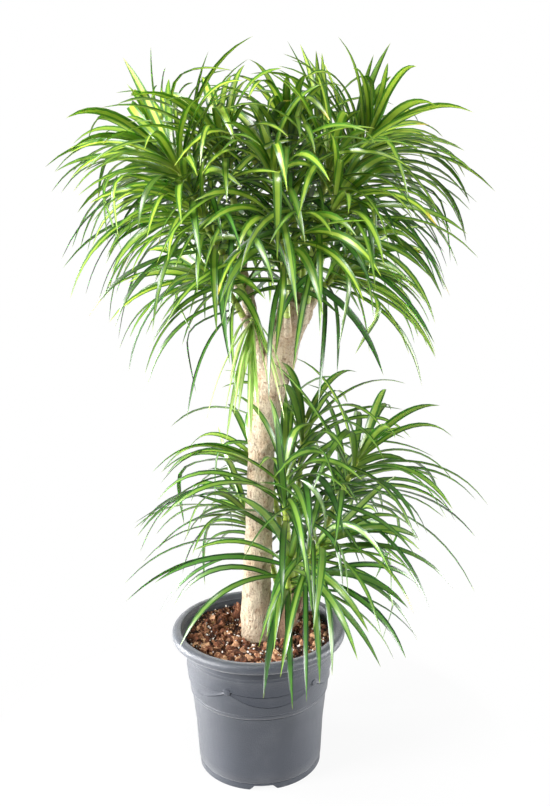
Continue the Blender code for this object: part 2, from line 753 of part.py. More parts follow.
def main():
    """Build the pot, soil and canes, then the heads around them."""
    clear_scene()
    plastic = plain_material("pot_plastic", (0.16, 0.18, 0.20), 0.45)
    earth = plain_material("potting_soil", (0.17, 0.065, 0.03), 0.95)
    pale_bark = plain_material("cane_bark", (0.55, 0.42, 0.31), 0.85)
    dark_bark = plain_material("stump_bark", (0.40, 0.27, 0.19), 0.85)
    crown_leaf = plain_material("crown_leaf", (0.13, 0.30, 0.03), 0.35)
    lower_leaf = plain_material("lower_leaf", (0.09, 0.24, 0.03), 0.35)

    shoots = {}
    for index, (origin, apex, lean, count, length) in enumerate(CROWN_HEADS):
        shoots[f"crown_head_{index + 1:02d}"] = (Shoot(origin, apex, lean), count, length)
    for index, (origin, apex, lean, count, length) in enumerate(LOWER_HEADS):
        shoots[f"lower_head_{index + 1:02d}"] = (Shoot(origin, apex, lean), count, length)

    pot = build_pot(plastic)
    soil = build_soil(earth)
    main_cane = wood("main_cane", MAIN_CANE, CANE_SIDES, pale_bark)
    branch = wood("left_branch", LEFT_BRANCH, BRANCH_SIDES, pale_bark)
    second_cane = wood("second_cane", SECOND_CANE, CANE_SIDES, dark_bark)
    crown_stubs = [build_stub(shoots[name][0], pale_bark) for name in shoots if name.startswith("crown")]
    lower_stubs = [build_stub(shoots[name][0], dark_bark) for name in shoots if name.startswith("lower")]
    combine(main_cane, [branch] + crown_stubs, "UNION")
    combine(second_cane, lower_stubs, "UNION")

    thicket = Thicket()
    for item in (pot, soil, main_cane, second_cane):
        thicket.add(item.name, *tree_of(item))
    for name, (shoot, _, _) in shoots.items():
        thicket.add(name, *stem_tree(shoot))
    thicket.add("clearing", *clearing())
    laid = lay_blades(shoots, thicket)
    for name, (shoot, _, _) in shoots.items():
        build_head(name, shoot, laid[name], crown_leaf if name.startswith("crown") else lower_leaf)


main()
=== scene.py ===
"""Looks of a potted dracaena: pot, soil, canes and leafy heads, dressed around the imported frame.

Metres throughout, in the frame's own coordinates: +Z up, the pot's underside at z = 0, -Y the front.
"""

import logging
import math
import random
from dataclasses import dataclass
from enum import Enum
from typing import Callable, Iterable

import bmesh
import bpy
from bmesh.types import BMEdge, BMesh, BMVert
from bpy.types import Material, Mesh, Node, NodeSocket as Socket, NodeTree, Object, bpy_prop_collection
from mathutils import Euler, Matrix, Vector, noise
from mathutils.bvhtree import BVHTree
from mathutils.kdtree import KDTree


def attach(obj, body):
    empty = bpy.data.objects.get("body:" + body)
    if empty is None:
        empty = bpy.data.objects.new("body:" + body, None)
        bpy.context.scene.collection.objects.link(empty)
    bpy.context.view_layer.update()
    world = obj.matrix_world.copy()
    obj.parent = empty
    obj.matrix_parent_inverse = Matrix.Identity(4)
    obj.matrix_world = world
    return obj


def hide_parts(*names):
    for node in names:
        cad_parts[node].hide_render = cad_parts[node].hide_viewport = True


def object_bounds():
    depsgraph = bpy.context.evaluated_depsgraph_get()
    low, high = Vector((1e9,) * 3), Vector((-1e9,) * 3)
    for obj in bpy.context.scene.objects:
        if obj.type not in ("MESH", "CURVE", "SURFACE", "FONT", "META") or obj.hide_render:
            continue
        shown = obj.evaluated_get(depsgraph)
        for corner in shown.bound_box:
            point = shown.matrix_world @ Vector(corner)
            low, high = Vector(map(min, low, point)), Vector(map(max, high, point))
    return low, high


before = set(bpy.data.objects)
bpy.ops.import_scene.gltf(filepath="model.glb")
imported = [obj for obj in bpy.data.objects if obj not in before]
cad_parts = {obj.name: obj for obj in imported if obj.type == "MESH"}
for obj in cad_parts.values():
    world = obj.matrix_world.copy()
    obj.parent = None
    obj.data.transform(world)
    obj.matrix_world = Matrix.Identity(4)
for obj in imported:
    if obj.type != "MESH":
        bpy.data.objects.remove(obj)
CAD_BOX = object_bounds()

LOG = logging.getLogger("dracaena")
DOWN = Vector((0.0, 0.0, -1.0))
FULL_TURN = 2.0 * math.pi
WELD = 0.00001
WHITE = (1.0, 1.0, 1.0)
Pair = tuple[float, float]
Pairs = tuple[Pair, ...]
Table = tuple[tuple[float, ...], ...]
Colour = tuple[float, float, float]
Blotches = tuple[float, float, float]
Fibres = tuple[float, float, float]
Place = tuple[float, float, float]
Line = list[tuple[Vector, Vector]]
Row = tuple[Vector, Vector, Vector]
Feed = Socket | float | Colour


def between(pair: Pair, share: float) -> float:
    """Return a value from the first of a pair to the second."""
    return pair[0] + (pair[1] - pair[0]) * share


def held(value: float) -> float:
    """Return a value held between 0 and 1."""
    return min(max(value, 0.0), 1.0)


def srgb(red: int, green: int, blue: int) -> Colour:
    """Turn screen values from 0 to 255 into the linear colour that a shader takes."""
    return tuple(((value / 255.0 + 0.055) / 1.055) ** 2.4 for value in (red, green, blue))


class NodeSheet:
    """Draws one shader graph with few words."""

    def __init__(self, tree: NodeTree) -> None:
        """Keep the tree that is drawn on."""
        self.tree = tree

    def add(self, kind: str, inputs: dict | None = None, **settings: str | bool | NodeTree) -> Node:
        """Add a node.

        Args:
            kind: The node's type, without its ShaderNode prefix.
            inputs: Values or sockets for its inputs, by name or index.
            **settings: The node's own settings.

        Returns:
            The node.
        """
        node = self.tree.nodes.new("ShaderNode" + kind)
        for name, value in settings.items():
            setattr(node, name, value)
        for name, value in (inputs or {}).items():
            self.feed(node.inputs[name], value)
        return node

    def feed(self, socket: Socket, value: Feed) -> None:
        """Link a socket into an input, or set the input's own value.

        Args:
            socket: The input.
            value: Another node's output, a number or a colour.
        """
        if isinstance(value, Socket):
            self.tree.links.new(value, socket)
        elif socket.type == "RGBA":
            socket.default_value = (*value, 1.0)
        else:
            socket.default_value = value

    def math(self, operation: str, *values: Feed, clamp: bool = False) -> Socket:
        """Return the result of a Math node on up to three values."""
        return self.add("Math", dict(enumerate(values)), operation=operation, use_clamp=clamp).outputs[0]

    def times(self, first: Feed, second: Feed, clamp: bool = False) -> Socket:
        """Return a product."""
        return self.math("MULTIPLY", first, second, clamp=clamp)

    def plus(self, first: Feed, second: Feed, clamp: bool = False) -> Socket:
        """Return a sum."""
        return self.math("ADD", first, second, clamp=clamp)

    def minus(self, first: Feed, second: Feed) -> Socket:
        """Return a difference."""
        return self.math("SUBTRACT", first, second)

    def scaled(self, value: Feed, factor: Feed, offset: Feed, clamp: bool = False) -> Socket:
        """Return a value times a factor, plus an offset."""
        return self.math("MULTIPLY_ADD", value, factor, offset, clamp=clamp)

    def blend(self, share: Feed, first: Feed, second: Feed) -> Socket:
        """Return a colour that goes from the first to the second by a share."""
        return self.add("Mix", {"Factor": share, 6: first, 7: second}, data_type="RGBA").outputs[2]

    def rise(self, value: Feed, low: Feed, high: Feed) -> Socket:
        """Return a smooth step from 0 at low to 1 at high."""
        names = {"Value": value, "From Min": low, "From Max": high, "To Min": 0.0, "To Max": 1.0}
        return self.add("MapRange", names, interpolation_type="SMOOTHSTEP", clamp=True).outputs["Result"]

    def noise(self, place: Socket, scale: Feed, detail: float = 3.0, rough: float = 0.55) -> Socket:
        """Return a noise value read at a place."""
        names = {"Vector": place, "Scale": scale, "Detail": detail, "Roughness": rough}
        return self.add("TexNoise", names).outputs["Fac"]

    def stretched(self, place: Socket, scale: tuple[float, float, float]) -> Socket:
        """Return a place scaled along each axis."""
        return self.add("Mapping", {"Vector": place, "Scale": scale}).outputs[0]

    def mottled(self, place: Socket, blotches: Blotches) -> Socket:
        """Return the mask of the shared group mottle, from its scale, low and high."""
        names = {"Place": place, "Scale": blotches[0], "Low": blotches[1], "High": blotches[2]}
        return self.add("Group", names, node_tree=Effects.mottle()).outputs["Mask"]

    def fibred(self, place: Socket, fibres: Fibres) -> Socket:
        """Return the mask of the shared group fibres, from its across, along and sharpness."""
        names = {"Place": place, "Across": fibres[0], "Along": fibres[1], "Sharpness": fibres[2]}
        return self.add("Group", names, node_tree=Effects.fibres()).outputs["Mask"]

    def bump(self, height: Socket, distance: float) -> Socket:
        """Return a normal bent by a height, where a height of 1 is as far as the distance."""
        return self.add("Bump", {"Height": height, "Distance": distance, "Strength": 1.0}).outputs["Normal"]


class FinishSheet(NodeSheet):
    """A sheet on a new material, with its Principled BSDF at hand."""

    def __init__(self, name: str) -> None:
        """Start the material.

        Args:
            name: Its name.
        """
        self.material = bpy.data.materials.new(name)
        self.material.use_nodes = True
        super().__init__(self.material.node_tree)
        self.shader = self.tree.nodes["Principled BSDF"]

    def place(self) -> Socket:
        """Return the Object coordinates."""
        return self.add("TexCoord").outputs["Object"]

    def attribute(self, name: str, output: str = "Fac") -> Socket:
        """Return what an attribute of the mesh holds."""
        return self.add("Attribute", attribute_name=name).outputs[output]

    def painted(self, values: dict[str, Feed]) -> Material:
        """Feed the Principled BSDF.

        Args:
            values: What its inputs take, by name.

        Returns:
            The material.
        """
        for name, value in values.items():
            self.feed(self.shader.inputs[name], value)
        return self.material


class Effects:
    """Shader groups that several finishes share, each built once."""

    _built: dict[str, NodeTree] = {}

    @classmethod
    def _mask_group(cls, name: str, defaults: dict[str, float], cut: Callable) -> NodeTree:
        """Return a group that cuts a noise to a mask, and build it the first time.

        Args:
            name: The group's name.
            defaults: Its number inputs and their defaults; it takes a Place besides.
            cut: Given a sheet and the inputs, draws the noise and returns it with the cut's two levels.

        Returns:
            The group, with the output Mask.
        """
        if name in cls._built:
            return cls._built[name]
        tree = bpy.data.node_groups.new(name, "ShaderNodeTree")
        tree.interface.new_socket(name="Place", in_out="INPUT", socket_type="NodeSocketVector")
        for label, default in defaults.items():
            socket = tree.interface.new_socket(name=label, in_out="INPUT", socket_type="NodeSocketFloat")
            socket.default_value = default
        tree.interface.new_socket(name="Mask", in_out="OUTPUT", socket_type="NodeSocketFloat")
        sheet = NodeSheet(tree)
        cloud, low, high = cut(sheet, tree.nodes.new("NodeGroupInput").outputs)
        sheet.feed(tree.nodes.new("NodeGroupOutput").inputs["Mask"], sheet.rise(cloud, low, high))
        cls._built[name] = tree
        return tree

    @staticmethod
    def _blotches(sheet: NodeSheet, given: bpy_prop_collection) -> tuple[Socket, Socket, Socket]:
        """Draw a noise for soft blotches, and return it with its two levels."""
        return sheet.noise(given["Place"], given["Scale"], 4.0, 0.5), given["Low"], given["High"]

    @staticmethod
    def _threads(sheet: NodeSheet, given: bpy_prop_collection) -> tuple[Socket, Socket, Socket]:
        """Draw a noise stretched along the upright axis, for fine lines that run one way.

        Args:
            sheet: The group's sheet.
            given: The group's inputs.

        Returns:
            The noise and its two levels.
        """
        scale = sheet.add("CombineXYZ", {"X": given["Across"], "Y": given["Across"], "Z": given["Along"]})
        drawn_out = {0: given["Place"], 1: scale.outputs[0]}
        place = sheet.add("VectorMath", drawn_out, operation="MULTIPLY").outputs[0]
        low, high = sheet.minus(0.5, given["Sharpness"]), sheet.plus(0.5, given["Sharpness"])
        return sheet.noise(place, 1.0, 3.0, 0.6), low, high

    @classmethod
    def mottle(cls) -> NodeTree:
        """Return the group of soft blotches, with inputs Place, Scale, Low and High."""
        return cls._mask_group("mottle", {"Scale": 50.0, "Low": 0.4, "High": 0.6}, cls._blotches)

    @classmethod
    def fibres(cls) -> NodeTree:
        """Return the group of fine upright lines, with inputs Place, Across, Along and Sharpness."""
        return cls._mask_group("fibres", {"Across": 400.0, "Along": 30.0, "Sharpness": 0.2}, cls._threads)


@dataclass(frozen=True)
class PotPlastic:
    """Matt grey moulded plastic with a fine leathery grain, a little dusty on its rim, where a painted
    highlight also lightens it.
    """

    body: Colour = srgb(50, 55, 66)
    shade: Colour = srgb(42, 47, 57)
    dust_and_highlight: Colour = srgb(178, 180, 182)
    cloud: Blotches = (7.0, 0.25, 0.78)
    film: Blotches = (30.0, 0.50, 0.80)
    specks: Blotches = (480.0, 0.72, 0.77)
    grain: Blotches = (520.0, 0.35, 0.65)
    grain_depth: float = 0.00020
    rim_height: float = 0.226
    rim_fade: float = 0.012
    film_veil: float = 0.05
    # painted highlight: how far the rim is lightened toward the pale dust colour
    rim_highlight: float = 0.05
    speck_share: float = 0.14
    rim_specks: float = 0.60
    roughness: float = 0.42
    film_rough: float = 0.12
    rim_gloss: float = 0.12
    grain_rough: float = 0.06
    sheen: float = 0.40
    sheen_rough: float = 0.45

    def build(self) -> Material:
        """Draw the plastic.

        Returns:
            The finished material.
        """
        sheet = FinishSheet("pot_plastic_finish")
        place = sheet.place()
        height = sheet.add("SeparateXYZ", {0: place}).outputs["Z"]
        film = sheet.mottled(place, self.film)
        grain = sheet.mottled(place, self.grain)
        on_rim = sheet.rise(height, self.rim_height, self.rim_height + self.rim_fade)
        tone = sheet.blend(sheet.mottled(place, self.cloud), self.shade, self.body)
        # painted highlight on the rim, added to the real dust film of the mottle
        dust_and_rim_highlight = sheet.scaled(on_rim, self.rim_highlight, sheet.times(film, self.film_veil))
        tone = sheet.blend(dust_and_rim_highlight, tone, self.dust_and_highlight)
        speck_share = sheet.scaled(on_rim, self.rim_specks, self.speck_share)
        dusty = sheet.times(sheet.mottled(place, self.specks), speck_share)
        rough = sheet.scaled(film, self.film_rough, self.roughness)
        rough = sheet.scaled(on_rim, -self.rim_gloss, rough)
        return sheet.painted({
            "Base Color": sheet.blend(dusty, tone, self.dust_and_highlight),
            "Roughness": sheet.scaled(grain, self.grain_rough, rough),
            "Sheen Weight": self.sheen,
            "Sheen Roughness": self.sheen_rough,
            "Normal": sheet.bump(grain, self.grain_depth),
        })


@dataclass(frozen=True)
class SoilFinish:
    """Dark, damp potting mix seen between the lumps."""

    deep: Colour = srgb(24, 13, 10)
    earth: Colour = srgb(76, 41, 28)
    lumps: Blotches = (170.0, 0.40, 0.66)
    crumble: float = 600.0
    depth: float = 0.0022
    roughness: float = 0.95

    def build(self) -> Material:
        """Draw the soil.

        Returns:
            The finished material.
        """
        sheet = FinishSheet("potting_soil_finish")
        place = sheet.place()
        lumps = sheet.mottled(place, self.lumps)
        return sheet.painted({
            "Base Color": sheet.blend(lumps, self.deep, self.earth),
            "Roughness": self.roughness,
            "Normal": sheet.bump(sheet.plus(lumps, sheet.noise(place, self.crumble)), self.depth),
        })


@dataclass(frozen=True)
class CrumbFinish:
    """Reddish bark and peat crumbs, each with its own tone from the attribute tone."""

    name: str
    dark: Colour
    middle: Colour
    light: Colour
    middle_at: float = 0.48
    mottle: Blotches = (260.0, 0.35, 0.68)
    mottle_share: float = 0.36
    tone_share: float = 0.8
    grain: float = 700.0
    grain_detail: float = 4.0
    depth: float = 0.0016
    roughness: float = 0.92

    def build(self) -> Material:
        """Draw the crumbs.

        Returns:
            The finished material.
        """
        sheet = FinishSheet(self.name)
        place = sheet.place()
        own = sheet.times(sheet.attribute("tone"), self.tone_share)
        value = sheet.scaled(sheet.mottled(place, self.mottle), self.mottle_share, own, clamp=True)
        ramp = sheet.add("ValToRGB", {"Fac": value})
        stops = ramp.color_ramp.elements
        stops[0].color = (*self.dark, 1.0)
        stops[1].color = (*self.light, 1.0)
        stops.new(self.middle_at).color = (*self.middle, 1.0)
        return sheet.painted({
            "Base Color": ramp.outputs["Color"],
            "Roughness": self.roughness,
            "Normal": sheet.bump(sheet.noise(place, self.grain, self.grain_detail), self.depth),
        })


@dataclass(frozen=True)
class PerliteFinish:
    """Porous white perlite."""

    white: Colour = srgb(240, 236, 230)
    stain: Colour = srgb(186, 160, 140)
    stains: Blotches = (300.0, 0.50, 0.75)
    pores: float = 1500.0
    depth: float = 0.0006
    roughness: float = 0.8

    def build(self) -> Material:
        """Draw the perlite.

        Returns:
            The finished material.
        """
        sheet = FinishSheet("perlite_finish")
        place = sheet.place()
        return sheet.painted({
            "Base Color": sheet.blend(sheet.mottled(place, self.stains), self.white, self.stain),
            "Roughness": self.roughness,
            "Normal": sheet.bump(sheet.noise(place, self.pores), self.depth),
        })


@dataclass(frozen=True)
class BarkFinish:
    """Bare woody bark with fine upright fissures; the attribute wear darkens knots and the foot."""

    name: str
    pale: Colour
    warm: Colour
    fissure: Colour
    scar: Colour
    patch_share: float
    fine: Fibres = (620.0, 130.0, 0.16)
    coarse: Fibres = (240.0, 34.0, 0.20)
    patch: Blotches = (44.0, 0.44, 0.66)
    pores: Blotches = (310.0, 0.53, 0.66)
    pits: Blotches = (150.0, 0.59, 0.67)
    line_shares: Pair = (0.24, 0.22)
    hole_shares: Pair = (0.38, 0.58)
    hole_heights: Pair = (-0.7, -1.2)
    wear_pores: Pair = (0.3, 0.8)
    depth: float = 0.0016
    roughness: float = 0.82

    def build(self) -> Material:
        """Draw the bark.

        Returns:
            The finished material.
        """
        sheet = FinishSheet(self.name)
        place = sheet.place()
        fine, coarse = sheet.fibred(place, self.fine), sheet.fibred(place, self.coarse)
        pores, pits = sheet.mottled(place, self.pores), sheet.mottled(place, self.pits)
        patch = sheet.times(sheet.mottled(place, self.patch), self.patch_share)
        tone = sheet.blend(patch, self.pale, self.warm)
        for lines, share in zip((fine, coarse), self.line_shares):
            tone = sheet.blend(sheet.scaled(lines, -share, share), tone, self.fissure)
        for holes, share in zip((pores, pits), self.hole_shares):
            tone = sheet.blend(sheet.times(holes, share), tone, self.fissure)
        wear = sheet.times(sheet.attribute("wear"), sheet.scaled(pores, *self.wear_pores), clamp=True)
        height = sheet.plus(sheet.times(coarse, fine), fine)
        for holes, rise in zip((pores, pits), self.hole_heights):
            height = sheet.scaled(holes, rise, height)
        return sheet.painted({
            "Base Color": sheet.blend(wear, tone, self.scar),
            "Roughness": self.roughness,
            "Normal": sheet.bump(height, self.depth),
        })


@dataclass(frozen=True)
class LeafFinish:
    """A satin strap leaf: green margins, a lighter stripe, paler foot, and on some a dry tip.

    The map blade runs across the leaf in U and along it in V. The attribute tone holds its age in red,
    its own luck in green and how far the tip has dried in blue; a stem has V above 1.
    """

    name: str
    young_edge: Colour
    young_stripe: Colour
    old_edge: Colour
    old_stripe: Colour
    foot: Colour
    stem: Colour = srgb(168, 186, 66)
    scar: Colour = srgb(120, 128, 58)
    yellow: Colour = srgb(204, 190, 62)
    dry: Colour = srgb(176, 124, 66)
    luck_spread: float = 37.0
    vein_count: float = 9.0
    vein_stretch: tuple[float, float, float] = (3.2, 1.6, 1.0)
    vein_pull: float = 0.35
    vein_depth: float = 0.00012
    waver_stretch: tuple[float, float, float] = (0.0, 5.0, 1.0)
    waver_share: float = 0.16
    stripe_half: float = 0.22
    stripe_luck: float = 0.20
    margin_fade: Pair = (-0.06, 0.20)
    plain_draw: float = 7.3
    plain_share: Pair = (-0.9, 0.7)
    ripe_luck: Pair = (0.56, -0.28)
    streak_fade: Pair = (0.35, 0.75)
    streak_share: float = 0.22
    foot_fade: Pair = (0.26, 0.02)
    foot_young: Pair = (-1.5, 0.85)
    tip_reach: float = 0.16
    tip_rag: Pair = (0.05, 0.03)
    yellow_fade: Pair = (0.0, 0.07)
    dry_fade: Pair = (0.09, 0.17)
    ring_count: float = 190.0
    ring_fade: Pair = (0.55, 0.95)
    ring_share: float = 0.6
    stem_age: float = 0.5
    stem_from: float = 1.001
    roughness: float = 0.30
    vein_rough: float = 0.10
    tip_rough: float = 0.3
    tip_rough_fade: Pair = (0.0, 0.1)
    coat: float = 0.60
    coat_rough: float = 0.20
    specular: float = 0.60
    inner_light: float = 0.12
    inner_reach: Colour = (0.4, 1.0, 0.1)
    inner_scale: float = 0.002

    def striped(
        self, sheet: FinishSheet, across: Socket, along: Socket, age: Socket, luck: Socket
    ) -> tuple[Socket, Socket, Socket]:
        """Draw the blade's stripe, its margins and its veins.

        Args:
            sheet: The material's sheet.
            across: The place across the blade, 0 to 1.
            along: The place along it, 0 to 1.
            age: The blade's age.
            luck: The blade's own luck.

        Returns:
            The tone, the veins and the distance aside from the middle, 0 to 1.
        """
        aside = sheet.times(sheet.math("ABSOLUTE", sheet.minus(across, 0.5)), 2.0)
        spread = sheet.times(luck, self.luck_spread)
        row = {"X": sheet.times(across, self.vein_count), "Y": along, "Z": spread}
        point = sheet.add("CombineXYZ", row).outputs[0]
        veins = sheet.noise(sheet.stretched(point, self.vein_stretch), 1.0, 3.0)
        waver = sheet.noise(sheet.stretched(point, self.waver_stretch), 1.0, 2.0)
        edge_at = sheet.scaled(waver, self.waver_share, self.stripe_half)
        edge_at = sheet.scaled(luck, self.stripe_luck, edge_at)
        past_edge = sheet.scaled(sheet.minus(veins, 0.5), self.vein_pull, sheet.minus(aside, edge_at))
        margin = sheet.rise(past_edge, *self.margin_fade)
        other_luck = sheet.math("FRACT", sheet.times(luck, self.plain_draw))
        plain = sheet.scaled(other_luck, *self.plain_share, clamp=True)
        ripe = sheet.plus(age, sheet.scaled(luck, *self.ripe_luck), clamp=True)
        edge = sheet.blend(ripe, self.young_edge, self.old_edge)
        stripe = sheet.blend(ripe, self.young_stripe, self.old_stripe)
        tone = sheet.blend(sheet.math("MAXIMUM", margin, plain), stripe, edge)
        streak = sheet.times(sheet.rise(veins, *self.streak_fade), self.streak_share)
        return sheet.blend(streak, tone, edge), veins, aside

    def ringed(self, sheet: FinishSheet, along: Socket, age: Socket) -> Socket:
        """Draw the green stem with its rings of leaf scars.

        Args:
            sheet: The material's sheet.
            along: The place along the stem.
            age: How old the stem is there.

        Returns:
            The stem's tone.
        """
        rings = sheet.rise(sheet.math("SINE", sheet.times(along, self.ring_count)), *self.ring_fade)
        stem = sheet.blend(sheet.times(rings, self.ring_share), self.stem, self.scar)
        return sheet.blend(sheet.times(age, self.stem_age), stem, self.old_stripe)

    def build(self) -> Material:
        """Draw the leaf: its striped blade with a pale foot and perhaps a dry tip, and its stem.

        Returns:
            The finished material.
        """
        sheet = FinishSheet(self.name)
        split = sheet.add("SeparateXYZ", {0: sheet.add("UVMap", uv_map="blade").outputs[0]})
        across, along = split.outputs["X"], split.outputs["Y"]
        marks = sheet.add("SeparateColor", {0: sheet.attribute("tone", "Color")})
        age, luck, wilt = marks.outputs[0], marks.outputs[1], marks.outputs[2]
        tone, veins, aside = self.striped(sheet, across, along, age, luck)
        young = sheet.scaled(age, *self.foot_young, clamp=True)
        tone = sheet.blend(sheet.times(sheet.rise(along, *self.foot_fade), young), tone, self.foot)
        rag = sheet.scaled(veins, self.tip_rag[0], sheet.times(aside, self.tip_rag[1]))
        past = sheet.minus(sheet.plus(along, rag), sheet.minus(1.0, sheet.times(wilt, self.tip_reach)))
        tone = sheet.blend(sheet.rise(past, *self.yellow_fade), tone, self.yellow)
        tone = sheet.blend(sheet.rise(past, *self.dry_fade), tone, self.dry)
        is_stem = sheet.math("GREATER_THAN", along, self.stem_from)
        worn = sheet.scaled(sheet.rise(past, *self.tip_rough_fade), self.tip_rough, self.roughness)
        return sheet.painted({
            "Base Color": sheet.blend(is_stem, tone, self.ringed(sheet, along, age)),
            "Roughness": sheet.scaled(veins, self.vein_rough, worn),
            "Coat Weight": self.coat,
            "Coat Roughness": self.coat_rough,
            "Specular IOR Level": self.specular,
            "Subsurface Weight": self.inner_light,
            "Subsurface Radius": self.inner_reach,
            "Subsurface Scale": self.inner_scale,
            "Normal": sheet.bump(veins, self.vein_depth),
        })


def plain_mesh(name: str, bm: BMesh) -> Mesh:
    """Turn a bmesh into a mesh.

    Args:
        name: The mesh's name.
        bm: The bmesh, which is freed.

    Returns:
        The mesh.
    """
    mesh = bpy.data.meshes.new(name)
    bm.to_mesh(mesh)
    bm.free()
    return mesh


def finished(name: str, bm: BMesh, material: Material, sharp: float = 40.0) -> Object:
    """Turn a bmesh into a smooth-shaded object in the scene.

    Args:
        name: The piece's name.
        bm: The mesh, which is freed.
        material: Its finish.
        sharp: The angle in degrees past which an edge stays sharp.

    Returns:
        The object, at the origin.
    """
    mesh = plain_mesh(name, bm)
    mesh.materials.append(material)
    mesh.shade_smooth()
    mesh.set_sharp_from_angle(angle=math.radians(sharp))
    piece = bpy.data.objects.new(name, mesh)
    bpy.context.scene.collection.objects.link(piece)
    return piece


def stamped(bm: BMesh, mesh: Mesh) -> list[BMVert]:
    """Add a copy of a mesh to a bmesh.

    Args:
        bm: The bmesh that it is added to.
        mesh: What is copied.

    Returns:
        The new vertices, in the mesh's order.
    """
    start = len(bm.verts)
    bm.from_mesh(mesh)
    bm.verts.ensure_lookup_table()
    return bm.verts[start:]


def through(points: list[Vector]) -> Line:
    """Draw a line through points.

    Args:
        points: The points.

    Returns:
        Each point with a direction taken from its neighbours.
    """
    line = []
    for index, point in enumerate(points):
        before, after = points[max(index - 1, 0)], points[min(index + 1, len(points) - 1)]
        line.append((point, (after - before).normalized()))
    return line


def drawn_tube(
    bm: BMesh, line: Line, reach: Callable[[int, Vector, Vector], float], sides: int
) -> list[list[BMVert]]:
    """Draw a closed tube along a line by extruding a ring, both ends capped.

    Args:
        bm: The mesh that it is added to.
        line: (centre, direction) at each ring.
        reach: The radius at a ring's number, centre and outward direction.
        sides: How many corners each ring has.

    Returns:
        The rings of vertices, in order.
    """
    ring = bmesh.ops.create_circle(bm, segments=sides, radius=1.0)["verts"]
    edges = list({edge for vert in ring for edge in vert.link_edges})
    rings = [ring]
    for _ in line[1:]:
        grown = bmesh.ops.extrude_edge_only(bm, edges=edges)["geom"]
        edges = [item for item in grown if isinstance(item, BMEdge)]
        fresh = {item for item in grown if isinstance(item, BMVert)}
        edges = [edge for edge in edges if edge.verts[0] in fresh and edge.verts[1] in fresh]
        follow = []
        for vert in rings[-1]:
            follow.append(next(e.other_vert(vert) for e in vert.link_edges if e.other_vert(vert) in fresh))
        rings.append(follow)
    side = Vector((1.0, 0.0, 0.0))
    for number, ((centre, along), row) in enumerate(zip(line, rings)):
        side = (side - along * side.dot(along)).normalized()
        other = along.cross(side)
        for turn, vert in enumerate(row):
            angle = FULL_TURN * turn / sides
            outward = side * math.cos(angle) + other * math.sin(angle)
            vert.co = centre + outward * reach(number, centre, outward)
    caps = [bm.faces.new(list(rings[0])), bm.faces.new(list(rings[-1]))]
    faces = {face for row in rings for vert in row for face in vert.link_faces}
    bmesh.ops.recalc_face_normals(bm, faces=list(faces | set(caps)))
    return rings


def turned(bm: BMesh, section: list[Pair], steps: int) -> None:
    """Turn a section of (radius, height) points round the upright axis into a closed solid.

    The vertex layer row keeps each point's number in the section.

    Args:
        bm: The mesh, empty before.
        section: Points from the axis below to the axis above.
        steps: How many columns the turn has.
    """
    layer = bm.verts.layers.int.new("row")
    verts = [bm.verts.new((0.0, -radius, height)) for radius, height in section]
    for number, vert in enumerate(verts):
        vert[layer] = number
    edges = [bm.edges.new(pair) for pair in zip(verts, verts[1:])]
    bmesh.ops.spin(
        bm, geom=verts + edges, cent=(0, 0, 0), axis=(0, 0, 1), angle=FULL_TURN, steps=steps, use_merge=True
    )
    bmesh.ops.remove_doubles(bm, verts=bm.verts, dist=WELD)
    bmesh.ops.recalc_face_normals(bm, faces=bm.faces)


def ride_root(piece: Object, slot: str, *nodes: str) -> Object:
    """Let a piece ride on the plant and stand for CAD nodes.

    Args:
        piece: The piece.
        slot: Not used.
        *nodes: The CAD nodes that it stands for, if any.

    Returns:
        The piece.
    """
    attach(piece, "root")
    if nodes:
        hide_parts(*nodes)
    LOG.info("%s: %d faces", piece.name, len(piece.data.polygons))
    return piece


